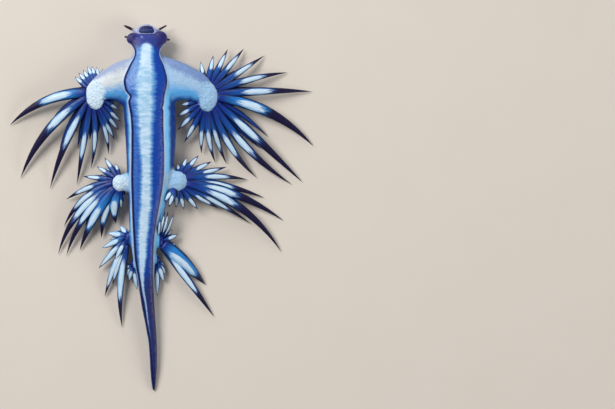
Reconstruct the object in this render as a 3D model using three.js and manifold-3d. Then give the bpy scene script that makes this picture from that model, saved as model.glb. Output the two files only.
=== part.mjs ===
// A blue dragon sea slug at life size, lying as a wave leaves it: on its silvery back, blue sole up.
// Millimetres, +Z up, head towards +Y. The origin is on the floor under the middle of the torso.
import * as THREE from "three";
import { mergeVertices } from "three/addons/utils/BufferGeometryUtils.js";
import Module from "manifold-3d";

const wasm = await Module();
wasm.setup();

// Clear space between neighbouring pieces, and how far a shape is swollen to cut its neighbours.
const GAP = 0.3;
const CLEARANCE = 0.39;

// The sole is a thin muscular strip, domed across, on top of the upturned body.
const SOLE_THICKNESS = 0.6;
const SOLE_DOME = 0.2;
const SOLE_EDGE_ROUNDNESS = 2.8;

// Cross-section of the back: how square it is, at what share of its height it is widest, and how
// deep the floor presses it flat.
const BACK_SQUARENESS = 2.3;
const WIDEST_AT = 0.45;
const PRESSED = 0.12;

// Widths down the body. Each row: distance ahead of the origin, sideways place of the sole's middle,
// half width of the sole, sideways place of the back's middle, half width of the back, and height of
// the sole's middle over the floor. The back leans out to the right of the sole amidships.
const BODY_STATIONS = [
  [-23.1, 0.58, 0.1, 0.58, 0.1, 0.28],
  [-22.0, 0.56, 0.24, 0.56, 0.24, 0.55],
  [-20.0, 0.55, 0.36, 0.55, 0.36, 0.85],
  [-18.0, 0.45, 0.43, 0.45, 0.43, 1.05],
  [-16.0, 0.2, 0.55, 0.2, 0.55, 1.25],
  [-14.0, -0.05, 0.68, -0.05, 0.68, 1.5],
  [-12.0, -0.22, 0.78, -0.22, 0.82, 1.8],
  [-10.0, -0.38, 0.98, -0.36, 1.1, 2.15],
  [-8.0, -0.4, 1.1, -0.34, 1.42, 2.5],
  [-6.0, -0.32, 1.28, -0.2, 1.68, 2.85],
  [-4.0, -0.17, 1.5, 0.02, 1.95, 3.15],
  [-2.0, -0.05, 1.68, 0.18, 2.24, 3.42],
  [1.0, 0.0, 1.7, 0.28, 2.46, 3.7],
  [4.5, -0.08, 1.72, 0.2, 2.58, 3.85],
  [6.2, -0.2, 1.92, 0.1, 2.58, 3.8],
  [8.0, -0.22, 2.24, -0.08, 2.52, 3.6],
  [9.4, -0.12, 1.8, -0.1, 2.05, 3.3],
  [10.6, -0.07, 1.3, -0.07, 1.42, 2.95],
  [11.05, -0.06, 1.36, -0.06, 1.28, 2.8],
  [11.5, -0.05, 1.64, -0.05, 1.18, 2.62],
  [12.0, -0.05, 1.92, -0.05, 1.1, 2.45],
  [12.3, -0.05, 1.8, -0.05, 1.05, 2.36],
  [12.62, -0.05, 1.3, -0.05, 0.95, 2.25],
];

// The front of the sole spreads into two round lobes, one each side of the mouth.
const SOLE_REAR = -10.45;
const SOLE_FRONT = 12.62;
const LOBES = [
  { x: -1.4, y: 12.1, z: 1.93, rx: 0.74, ry: 0.63, rz: 0.3 },
  { x: 1.23, y: 12.15, z: 1.93, rx: 0.74, ry: 0.75, rz: 0.3 },
];

// Where the body is parted: name, rear end and front end of each length.
const TRUNK_LENGTHS = [
  ["neck", 10.05, 11.35],
  ["torso_front", 4.35, 9.75],
  ["torso_middle", -4.15, 4.05],
  ["torso_rear", SOLE_REAR, -4.45],
];
const SOLE_LENGTHS = [
  ["sole_front", 10.3, SOLE_FRONT],
  ["sole_middle", 1.15, 10.0],
  ["sole_rear", SOLE_REAR, 0.85],
];
const TAIL_LENGTHS = [
  ["tail_base", -14.35, -10.75],
  ["tail_middle", -18.75, -14.65],
  ["tail_tip", -23.1, -19.05],
];

// The head is a blunt snout under the front of the sole, with the mouth on its upturned side.
const HEAD = { x: -0.15, y: 12.5, z: 0.98, rx: 1.02, ry: 1.05, rz: 1.1 };

// The mouth is an oval ring of lips round a domed cap with a slit. Its ring is drawn out sideways,
// and the whole is tilted down to the front.
const MOUTH = { x: -0.13, y: 13.1, z: 1.76, tilt: -0.38, lipRadius: 0.42, lipThickness: 0.13, stretch: 1.95 };
const CAP = { x: 0, y: 0, z: 0, rx: 0.8, ry: 0.42, rz: 0.27 };
const SLIT = { x: 0, y: 0.06, z: 0.3, rx: 0.5, ry: 0.11, rz: 0.22 };

// Feelers: each one's kind, with its radius at root and tip, and its root, bend and tip.
const ORAL_TENTACLE = { rootRadius: 0.3, tipRadius: 0.12 };
const RHINOPHORE = { rootRadius: 0.28, tipRadius: 0.14 };
const FEELERS = [
  ["oral_tentacle_left", ORAL_TENTACLE, [-0.75, 12.75, 1.15], [-1.5, 13.0, 1.15], [-2.5, 13.5, 1.3]],
  ["oral_tentacle_right", ORAL_TENTACLE, [0.45, 12.75, 1.15], [1.1, 13.0, 1.15], [1.95, 13.5, 1.3]],
  ["rhinophore_left", RHINOPHORE, [-0.8, 12.2, 0.7], [-1.6, 12.15, 0.65], [-2.4, 12.35, 0.6]],
  ["rhinophore_right", RHINOPHORE, [0.5, 12.2, 0.7], [1.4, 12.1, 0.65], [2.25, 12.0, 0.6]],
];

// The fore pair of stalks is long and broad, like arms; pad is the fan of cerata at its end.
// The breadths are half breadths at the shares of the way out that ARM_SHARES lists.
const ARMS = [
  {
    name: "arm_left",
    pad: 0,
    root: [-1.0, 7.5, 1.6],
    bend: [-3.4, 8.1, 2.15],
    end: [-5.2, 6.8, 2.05],
    breadths: [2.9, 2.25, 1.6, 1.3, 1.0],
  },
  {
    name: "arm_right",
    pad: 1,
    root: [0.8, 7.7, 1.6],
    bend: [3.9, 8.3, 2.15],
    end: [5.9, 6.5, 2.05],
    breadths: [3.0, 2.1, 1.62, 1.4, 1.05],
  },
];
const ARM_SHARES = [0, 0.35, 0.65, 0.85, 1];
const ARM_DEPTH = { root: 1.05, end: 0.6 };

// Each fan of cerata: hub of its stalk pad, the pad's half sizes, and the bearings on the pad's rim
// of its first and last ceras, counted in degrees from +X towards +Y.
// Each ceras: bearing of its tip from the hub, its reach, how far its middle bows forwards, and
// how much broader it is than its length gives.
const FANS = [
  {
    name: "cerata_front_left",
    hub: [-5.2, 6.5, 2.25],
    pad: [1.0, 1.5, 0.55],
    rim: [40, 350],
    cerata: [
      [75, 2.7, 0, 1], [88, 2.8, 0, 1], [98, 2.9, 0, 1], [106, 3.0, 0, 1], [117, 2.8, 0, 1],
      [128, 2.8, 0, 1], [139, 2.8, 0, 1], [199.6, 9.2, 0.9, 1], [228, 11.3, 0.95, 1.1],
      [244, 10.5, 0.4, 1], [258, 9.2, 0, 0.9], [266, 7.4, -0.35, 0.9], [282, 6.1, -0.35, 0.9],
      [293, 4.9, 0, 1], [303, 4.2, 0, 1], [313, 3.6, 0, 1], [328, 2.7, 0, 1], [348, 2.3, 0, 1],
    ],
  },
  {
    name: "cerata_front_right",
    hub: [5.95, 6.3, 2.25],
    pad: [1.05, 1.5, 0.55],
    rim: [121, -159],
    cerata: [
      [119, 2.75, 0, 1], [101, 3.6, 0, 1], [82, 4.2, 0, 1], [67, 5.2, 0, 1], [53, 6.1, 0, 1],
      [36, 7.1, 0, 1], [17, 8.4, 0.3, 1], [3, 10.5, 0.2, 1], [-25, 11.7, 1.05, 1.25],
      [-42, 12.8, 0.1, 1.1], [-46, 12.2, -0.7, 1.1], [-58.6, 9.5, -0.6, 1], [-74, 7.0, -0.25, 1],
      [-83, 6.7, -0.35, 1], [-96, 5.7, -0.2, 1], [-117, 5.1, 0, 1], [-132, 4.5, 0, 1],
      [-147, 3.6, 0, 1], [-163, 2.8, 0, 1],
    ],
  },
  {
    name: "cerata_middle_left",
    hub: [-2.75, -2.3, 2.0],
    pad: [0.95, 0.9, 0.5],
    rim: [100, 285],
    cerata: [
      [104, 2.0, 0, 1], [122, 3.0, 0, 1], [145, 2.9, 0, 1], [170, 3.8, 0, 1], [197, 5.7, 0.3, 1],
      [218, 7.2, 0.8, 1], [229, 9.5, 1.0, 1], [233.5, 9.1, 0.75, 1], [239, 7.9, 0.4, 1.35],
      [251, 5.8, 0.4, 1], [261, 4.05, 0, 1], [268, 2.9, 0, 1], [275, 2.0, 0, 1],
    ],
  },
  {
    name: "cerata_middle_right",
    hub: [3.0, -2.1, 2.0],
    pad: [0.95, 1.0, 0.5],
    rim: [85, -100],
    cerata: [
      [90, 1.7, 0, 1], [69, 2.5, 0, 1], [51, 3.3, 0, 1], [30, 3.9, 0, 1], [16, 5.1, 0, 1],
      [1, 7.0, 0.3, 1], [-11, 8.8, 0.35, 1], [-20.7, 11.3, 0.7, 1.05], [-34.7, 12.6, 1.3, 1.3],
      [-30.5, 8.5, 0.2, 0.8], [-34, 4.9, 0, 1], [-55, 3.5, 0, 1], [-78, 2.9, 0, 1], [-96, 2.5, 0, 1],
    ],
  },
  {
    name: "cerata_rear_left",
    hub: [-2.35, -7.8, 1.25],
    pad: [0.65, 0.7, 0.45],
    rim: [118, 258],
    cerata: [
      [113, 1.4, 0, 1], [164, 1.95, 0, 1], [203, 2.7, 0, 1], [229, 3.6, 0, 1], [244, 2.4, 0, 1],
      [250, 6.3, 0.2, 1], [256, 4.8, 0, 1], [268, 9.1, 0.3, 0.85],
    ],
  },
  {
    name: "cerata_rear_right",
    hub: [1.75, -8.0, 1.25],
    pad: [0.65, 0.7, 0.45],
    rim: [85, -60],
    cerata: [[88, 3.1, 0, 1], [74, 2.9, 0, 1], [20, 1.7, 0, 1], [-47, 6.0, 0.1, 1.6], [-57, 9.2, 0, 1]],
  },
  {
    name: "cerata_tail_left",
    hub: [-1.72, -10.4, 0.85],
    pad: [0.35, 0.45, 0.35],
    rim: [240, 290],
    cerata: [[248, 1.1, 0, 1], [268, 1.8, 0, 1], [279, 2.7, 0, 1]],
  },
  {
    name: "cerata_tail_right",
    hub: [1.3, -10.1, 0.85],
    pad: [0.35, 0.45, 0.35],
    rim: [-50, -95],
    cerata: [[-65, 1.35, 0, 1], [-83, 2.1, 0, 1], [-95, 3.85, 0, 1]],
  },
];

// A ceras is a flattened spindle: its greatest width follows its reach, and it thins to a point.
// It swells from its root over the first shares of its length. A long one droops to the floor.
const CERAS = {
  leastWidth: 0.4,
  widthPerReach: 0.075,
  rootWidth: 0.55,
  swollenBy: 0.45,
  taper: 2.4,
  flatness: 0.62,
  leastDepth: 0.5,
  rootInset: 0.7,
  tipRadius: 0.09,
  rootDrop: 0.1,
  arch: 0.12,
  highTip: 0.6,
  lowTip: 0.16,
  shortReach: 2.5,
  longReach: 7,
};

const SKIN = {
  head: new THREE.MeshStandardMaterial({ color: 0x1c2358, roughness: 0.35, metalness: 0 }),
  feeler: new THREE.MeshStandardMaterial({ color: 0x3a2f4a, roughness: 0.4, metalness: 0 }),
  sole: new THREE.MeshStandardMaterial({ color: 0x1f48a8, roughness: 0.3, metalness: 0 }),
  back: new THREE.MeshStandardMaterial({ color: 0x9fc4e4, roughness: 0.3, metalness: 0 }),
  tail: new THREE.MeshStandardMaterial({ color: 0x262a66, roughness: 0.35, metalness: 0 }),
  cerata: new THREE.MeshStandardMaterial({ color: 0x2450a0, roughness: 0.35, metalness: 0 }),
};

// Sizes of the body at a distance ahead of the origin, by smooth interpolation of its stations.
const stationPlaces = BODY_STATIONS.map((row) => row[0]);
const stationSizes = BODY_STATIONS.flatMap((row) => row.slice(1));
const bodyCurve = new THREE.CubicInterpolant(stationPlaces, stationSizes, 5);
function bodyAt(y) {
  const [x, sole, backX, back, top] = bodyCurve.evaluate(y);
  return { x, sole, backX, back, top };
}

// A closed geometry as a solid that can be joined and cut.
function solid(geometry) {
  geometry.deleteAttribute("normal");
  geometry.deleteAttribute("uv");
  const merged = mergeVertices(geometry, 1e-4);
  return new wasm.Manifold(
    new wasm.Mesh({
      numProp: 3,
      vertProperties: merged.attributes.position.array,
      triVerts: new Uint32Array(merged.index.array),
    }),
  );
}

// A closed round bar whose vertices are set by place(share along, across, up), with across and up
// on the unit circle, or both 0 at the middle of an end.
function bar(sides, rings, place) {
  const geometry = new THREE.CylinderGeometry(1, 1, 1, sides, rings);
  const position = geometry.attributes.position;
  const target = new THREE.Vector3();
  for (let i = 0; i < position.count; i += 1) {
    target.copy(place(position.getY(i) + 0.5, position.getX(i), position.getZ(i)));
    position.setXYZ(i, target.x, target.y, target.z);
  }
  return solid(geometry);
}

// A bar along a curve, with its own half width and half depth at each share of the length.
function barAlong(curve, sides, rings, halfWidth, halfDepth) {
  const up = new THREE.Vector3(0, 0, 1);
  return bar(sides, rings, (share, across, rise) => {
    const tangent = curve.getTangent(share);
    const side = new THREE.Vector3().crossVectors(tangent, up).normalize();
    const over = new THREE.Vector3().crossVectors(side, tangent);
    return curve
      .getPoint(share)
      .addScaledVector(side, across * halfWidth(share))
      .addScaledVector(over, rise * halfDepth(share));
  });
}

// A coordinate of the unit circle, pushed out towards a square.
function squared(value, squareness) {
  return Math.sign(value) * Math.abs(value) ** (2 / squareness);
}

const onFloor = (z) => Math.max(z, 0);

// A length of the upturned back, flattened where it lies on the floor and lowered under the sole.
function trunkLength(rear, front, sides, rings, underSole, grow = 0) {
  return bar(sides, rings, (share, across, up) => {
    const y = THREE.MathUtils.lerp(rear - grow, front + grow, share);
    const { backX, back, top } = bodyAt(y);
    const crown = underSole ? top - SOLE_THICKNESS - GAP : top;
    const middle = WIDEST_AT * top;
    const reach = up > 0 ? crown - middle : middle + PRESSED;
    const z = middle + squared(up, BACK_SQUARENESS) * (reach + grow);
    return new THREE.Vector3(backX + squared(across, BACK_SQUARENESS) * (back + grow), y, onFloor(z));
  });
}

// A length of the sole: a thin strip, domed across, with rounded edges.
function soleLength(rear, front, rings, grow = 0) {
  const half = SOLE_THICKNESS / 2;
  return bar(16, rings, (share, across, up) => {
    const y = THREE.MathUtils.lerp(rear - grow, front + grow, share);
    const { x, sole, top } = bodyAt(y);
    const out = squared(across, SOLE_EDGE_ROUNDNESS);
    const dome = SOLE_DOME * sole * out * out;
    const z = top - half - dome + squared(up, SOLE_EDGE_ROUNDNESS) * (half + grow);
    return new THREE.Vector3(x + out * (sole + grow), y, z);
  });
}

function ellipsoid({ x, y, z, rx, ry, rz }, around, along, grow = 0) {
  const geometry = new THREE.SphereGeometry(1, around, along);
  geometry.rotateX(Math.PI / 2);
  geometry.scale(rx + grow, ry + grow, rz + grow);
  geometry.translate(x, y, z);
  return solid(geometry);
}

function block(low, high) {
  const size = high.map((value, i) => value - low[i]);
  const geometry = new THREE.BoxGeometry(...size);
  geometry.translate(...high.map((value, i) => (value + low[i]) / 2));
  return solid(geometry);
}

// The lobes of the sole's front, joined to a shape.
function withLobes(shape, grow = 0) {
  return LOBES.reduce((joined, lobe) => joined.add(ellipsoid(lobe, 12, 6, grow)), shape);
}

const FAR = 60;
const underFloor = block([-FAR, -FAR, -FAR], [FAR, FAR, 0]);

// The mouth, in its place on the snout.
function mouth() {
  const lips = new THREE.TorusGeometry(MOUTH.lipRadius, MOUTH.lipThickness, 6, 16);
  lips.scale(MOUTH.stretch, 1, 1);
  return solid(lips)
    .add(ellipsoid(CAP, 14, 6))
    .subtract(ellipsoid(SLIT, 10, 6))
    .rotate([THREE.MathUtils.radToDeg(MOUTH.tilt), 0, 0])
    .translate([MOUTH.x, MOUTH.y, MOUTH.z]);
}

// The snout with the mouth, cut to lie under the sole and before the neck.
function head(soleFront) {
  const behindHead = block([-FAR, -FAR, -FAR], [FAR, TRUNK_LENGTHS[0][2] + GAP, FAR]);
  return ellipsoid(HEAD, 20, 12)
    .add(mouth())
    .subtract(soleFront)
    .subtract(behindHead)
    .subtract(underFloor);
}

function feeler({ rootRadius, tipRadius }, root, middle, tip) {
  const curve = new THREE.QuadraticBezierCurve3(...[root, middle, tip].map((p) => new THREE.Vector3(...p)));
  const radius = (share) => THREE.MathUtils.lerp(rootRadius, tipRadius, share);
  return barAlong(curve, 8, 6, radius, radius);
}

// A stalk like an arm, broad and deep at the body and narrower at its pad.
function arm({ root, bend, end, breadths }) {
  const curve = new THREE.QuadraticBezierCurve3(...[root, bend, end].map((p) => new THREE.Vector3(...p)));
  const breadthCurve = new THREE.CubicInterpolant(ARM_SHARES, breadths, 1);
  const breadth = (share) => breadthCurve.evaluate(share)[0];
  const depth = (share) => THREE.MathUtils.lerp(ARM_DEPTH.root, ARM_DEPTH.end, share);
  return barAlong(curve, 14, 7, breadth, depth);
}

const onBearing = (degrees, across, along) => {
  const angle = THREE.MathUtils.degToRad(degrees);
  return new THREE.Vector3(across * Math.cos(angle), along * Math.sin(angle), 0);
};

// The centre line of one ceras, from inside the pad's rim out to its tip.
function cerasCurve(fan, rimBearing, bearing, reach, bow) {
  const hub = new THREE.Vector3(...fan.hub);
  const [padX, padY] = fan.pad;
  const root = hub.clone().add(onBearing(rimBearing, CERAS.rootInset * padX, CERAS.rootInset * padY));
  root.z -= CERAS.rootDrop;
  const tip = hub.clone().add(onBearing(bearing, reach, reach));
  const lowered = THREE.MathUtils.smoothstep(reach, CERAS.shortReach, CERAS.longReach);
  tip.z = THREE.MathUtils.lerp(CERAS.highTip * hub.z, CERAS.lowTip, lowered);
  const forwards = new THREE.Vector3(root.y - tip.y, tip.x - root.x, 0).normalize();
  forwards.multiplyScalar(Math.sign(fan.hub[0]) * 2 * bow);
  const control = root.clone().add(tip).multiplyScalar(0.5).add(forwards);
  control.z += 2 * CERAS.arch * Math.min(1, reach / CERAS.longReach);
  return new THREE.QuadraticBezierCurve3(root, control, tip);
}

function ceras(fan, rimBearing, [bearing, reach, bow, broadness], grow) {
  const curve = cerasCurve(fan, rimBearing, bearing, reach + grow, bow);
  const half = (broadness * (CERAS.leastWidth + CERAS.widthPerReach * reach)) / 2;
  const spindle = (share) => {
    const swollen = THREE.MathUtils.smoothstep(share, -CERAS.swollenBy, CERAS.swollenBy);
    const swell = THREE.MathUtils.lerp(2 * CERAS.rootWidth - 1, 1, swollen);
    return swell * (1 - share ** CERAS.taper);
  };
  const halfWidth = (share) => grow + Math.max(CERAS.tipRadius, half * spindle(share));
  const halfDepth = (share) => {
    const leastHalf = (CERAS.leastDepth / 2) * Math.sqrt(1 - share ** 3);
    return grow + Math.max(CERAS.tipRadius, CERAS.flatness * half * spindle(share), leastHalf);
  };
  const rings = Math.round(3 + reach / 2.4);
  return barAlong(curve, 6, rings, halfWidth, halfDepth);
}

// A pad with its cerata rooted round the rim.
function cerataFan(fan, grow = 0) {
  const [first, last] = fan.rim;
  const [x, y, z] = fan.hub;
  const [rx, ry, rz] = fan.pad;
  const pieces = fan.cerata.map((row, i) => {
    const rimBearing = THREE.MathUtils.lerp(first, last, i / (fan.cerata.length - 1));
    return ceras(fan, rimBearing, row, grow);
  });
  return pieces.reduce((joined, piece) => joined.add(piece), ellipsoid({ x, y, z, rx, ry, rz }, 16, 8, grow));
}

// Only the largest closed surface of a cut solid is kept.
function largest(shape) {
  return shape.decompose().reduce((best, piece) => (piece.volume() > best.volume() ? piece : best));
}

const model = new THREE.Group();
function show(name, shape, material) {
  const { numProp, vertProperties, triVerts } = largest(shape).getMesh();
  const position = vertProperties.filter((_, i) => i % numProp < 3);
  const geometry = new THREE.BufferGeometry();
  geometry.setAttribute("position", new THREE.BufferAttribute(new Float32Array(position), 3));
  geometry.setIndex(new THREE.BufferAttribute(new Uint32Array(triVerts), 1));
  geometry.computeVertexNormals();
  const mesh = new THREE.Mesh(geometry, material);
  mesh.name = name;
  model.add(mesh);
}

const ringsFor = (rear, front, spacing) => Math.max(3, Math.round((front - rear) / spacing));

for (const [name, rear, front] of SOLE_LENGTHS) {
  const lobed = front === SOLE_FRONT;
  const strip = soleLength(rear, front, ringsFor(rear, front, lobed ? 0.38 : 0.9));
  show(name, lobed ? withLobes(strip) : strip, SKIN.sole);
}
const clearOfSole = withLobes(soleLength(SOLE_REAR, SOLE_FRONT, 30, CLEARANCE), CLEARANCE);
for (const [name, rear, front] of TRUNK_LENGTHS) {
  const trunk = trunkLength(rear, front, 20, ringsFor(rear, front, 0.95), true);
  show(name, trunk.subtract(clearOfSole), SKIN.back);
}
for (const [name, rear, front] of TAIL_LENGTHS) {
  show(name, trunkLength(rear, front, 14, ringsFor(rear, front, 0.8), false), SKIN.tail);
}

show("head", head(clearOfSole), SKIN.head);
const clearOfHead = ellipsoid(HEAD, 20, 12, CLEARANCE).add(clearOfSole);
for (const [name, size, root, middle, tip] of FEELERS) {
  show(name, feeler(size, root, middle, tip).subtract(clearOfHead), SKIN.feeler);
}

const clearOfBody = trunkLength(-13, 11.35, 24, 26, false, CLEARANCE).add(clearOfSole);
for (const limb of ARMS) {
  show(limb.name, arm(limb).subtract(clearOfBody).subtract(cerataFan(FANS[limb.pad], CLEARANCE)), SKIN.back);
}
for (const fan of FANS) {
  show(fan.name, cerataFan(fan).subtract(clearOfBody).subtract(underFloor), SKIN.cerata);
}

export default model;
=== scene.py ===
"""Dress a blue dragon sea slug: one skin, fine cerata, their colours, and the studio round them."""

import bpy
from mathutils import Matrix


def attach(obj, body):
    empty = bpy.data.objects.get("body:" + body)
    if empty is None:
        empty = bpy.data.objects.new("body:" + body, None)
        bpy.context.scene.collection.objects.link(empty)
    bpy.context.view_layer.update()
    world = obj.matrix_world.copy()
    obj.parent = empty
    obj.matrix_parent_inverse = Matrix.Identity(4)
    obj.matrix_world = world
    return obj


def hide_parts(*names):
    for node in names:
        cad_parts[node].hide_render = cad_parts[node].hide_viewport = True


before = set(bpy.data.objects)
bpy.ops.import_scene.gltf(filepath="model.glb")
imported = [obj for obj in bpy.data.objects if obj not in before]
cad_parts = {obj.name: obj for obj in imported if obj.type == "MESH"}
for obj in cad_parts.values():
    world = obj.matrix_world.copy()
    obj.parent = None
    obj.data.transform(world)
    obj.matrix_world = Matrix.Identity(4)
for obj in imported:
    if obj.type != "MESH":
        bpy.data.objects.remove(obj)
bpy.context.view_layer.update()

import logging
import math
from dataclasses import dataclass
from enum import Enum
from typing import Callable, Iterable, Sequence, Union

import bmesh
import bpy
import numpy as np
from mathutils import Matrix, Vector, noise

LOG = logging.getLogger("blue_dragon")

# Shapes are made in millimetres, and each mesh is brought to metres when it is finished.
MM = 0.001

Colour = tuple[float, float, float, float]

# A screen's curve from code to light is straight for the darkest codes, and then a lifted power.
BRIGHTEST_CODE = 255
LAST_STRAIGHT_CODE = 10
STRAIGHT_DIVISOR = 3295
CURVE_LIFT = 0.055
CURVE_POWER = 2.4


def light_of(code: int) -> float:
    """Turn one channel's screen code into its share of light.

    Args:
        code: The code, 0 to 255.

    Returns:
        The light, 0 to 1.
    """
    if code <= LAST_STRAIGHT_CODE:
        return code / STRAIGHT_DIVISOR
    return ((code / BRIGHTEST_CODE + CURVE_LIFT) / (1 + CURVE_LIFT)) ** CURVE_POWER


def rgb(red: int, green: int, blue: int) -> Colour:
    """Turn a screen colour into the linear one that shaders take.

    Args:
        red: Red, 0 to 255.
        green: Green, 0 to 255.
        blue: Blue, 0 to 255.

    Returns:
        The linear colour, with an alpha of 1.
    """
    return (light_of(red), light_of(green), light_of(blue), 1.0)


def smoothstep(value: np.ndarray, low: float, high: float) -> np.ndarray:
    """Rise smoothly from 0 at low to 1 at high.

    Args:
        value: Where to read the step.
        low: Where it leaves 0.
        high: Where it reaches 1.

    Returns:
        The step's height at each value.
    """
    share = np.clip((value - low) / (high - low), 0.0, 1.0)
    return share * share * (3 - 2 * share)


def squared(value: float, squareness: float) -> float:
    """Push a coordinate of the unit circle out towards a square.

    Args:
        value: A cosine or a sine.
        squareness: 2 for a circle, more for a squarer shape.

    Returns:
        The pushed coordinate.
    """
    return math.copysign(abs(value) ** (2 / squareness), value)


def rounded_ends(share: float, first: float, last: float) -> float:
    """Close a tube roundly at both ends.

    Args:
        share: The share of its length.
        first: The share over which it opens at its start.
        last: The share over which it closes at its end.

    Returns:
        What its section's size is multiplied by, 0 at the ends and 1 between them.
    """
    return min(1.0, share / first, (1 - share) / last) ** 0.5


class Profile:
    """A smooth curve through a few known places along the body."""

    def __init__(self, places: Sequence[float], values: Sequence[float]) -> None:
        """Keep the known places, in rising order, and the curve's slope at each.

        Args:
            places: The known places, in rising order.
            values: The value at each.
        """
        self.places = np.array(places, float)
        self.values = np.array(values, float)
        self.slopes = np.gradient(self.values, self.places)

    def __call__(self, place: Union[float, np.ndarray]) -> np.ndarray:
        """Read the curve.

        Args:
            place: One place, or an array of them.

        Returns:
            The value there, and past either end the value at that end.
        """
        start = np.clip(np.searchsorted(self.places, place) - 1, 0, len(self.places) - 2)
        gap = self.places[start + 1] - self.places[start]
        t = np.clip((place - self.places[start]) / gap, 0.0, 1.0)
        rise = t * t * (3 - 2 * t)
        leaving = t * (1 - t) ** 2 * gap * self.slopes[start]
        arriving = t * t * (t - 1) * gap * self.slopes[start + 1]
        return self.values[start] * (1 - rise) + self.values[start + 1] * rise + leaving + arriving


@dataclass(frozen=True)
class Station:
    """The body's sizes at one distance ahead of the origin, in millimetres."""

    ahead: float
    sole_x: float
    sole_half: float
    back_x: float
    back_half: float
    top: float


@dataclass(frozen=True)
class StripeStation:
    """The pale stripe's middle and half width at one distance ahead of the origin."""

    ahead: float
    middle: float
    half: float


@dataclass(frozen=True)
class Notch:
    """A nick in the sole's margin: where it is, how deep, how long, and on which side."""

    ahead: float
    deep: float
    long: float
    side: int


@dataclass(frozen=True)
class Ball:
    """An ellipsoid, by its centre and its half sizes."""

    centre: tuple[float, float, float]
    size: tuple[float, float, float]


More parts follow.
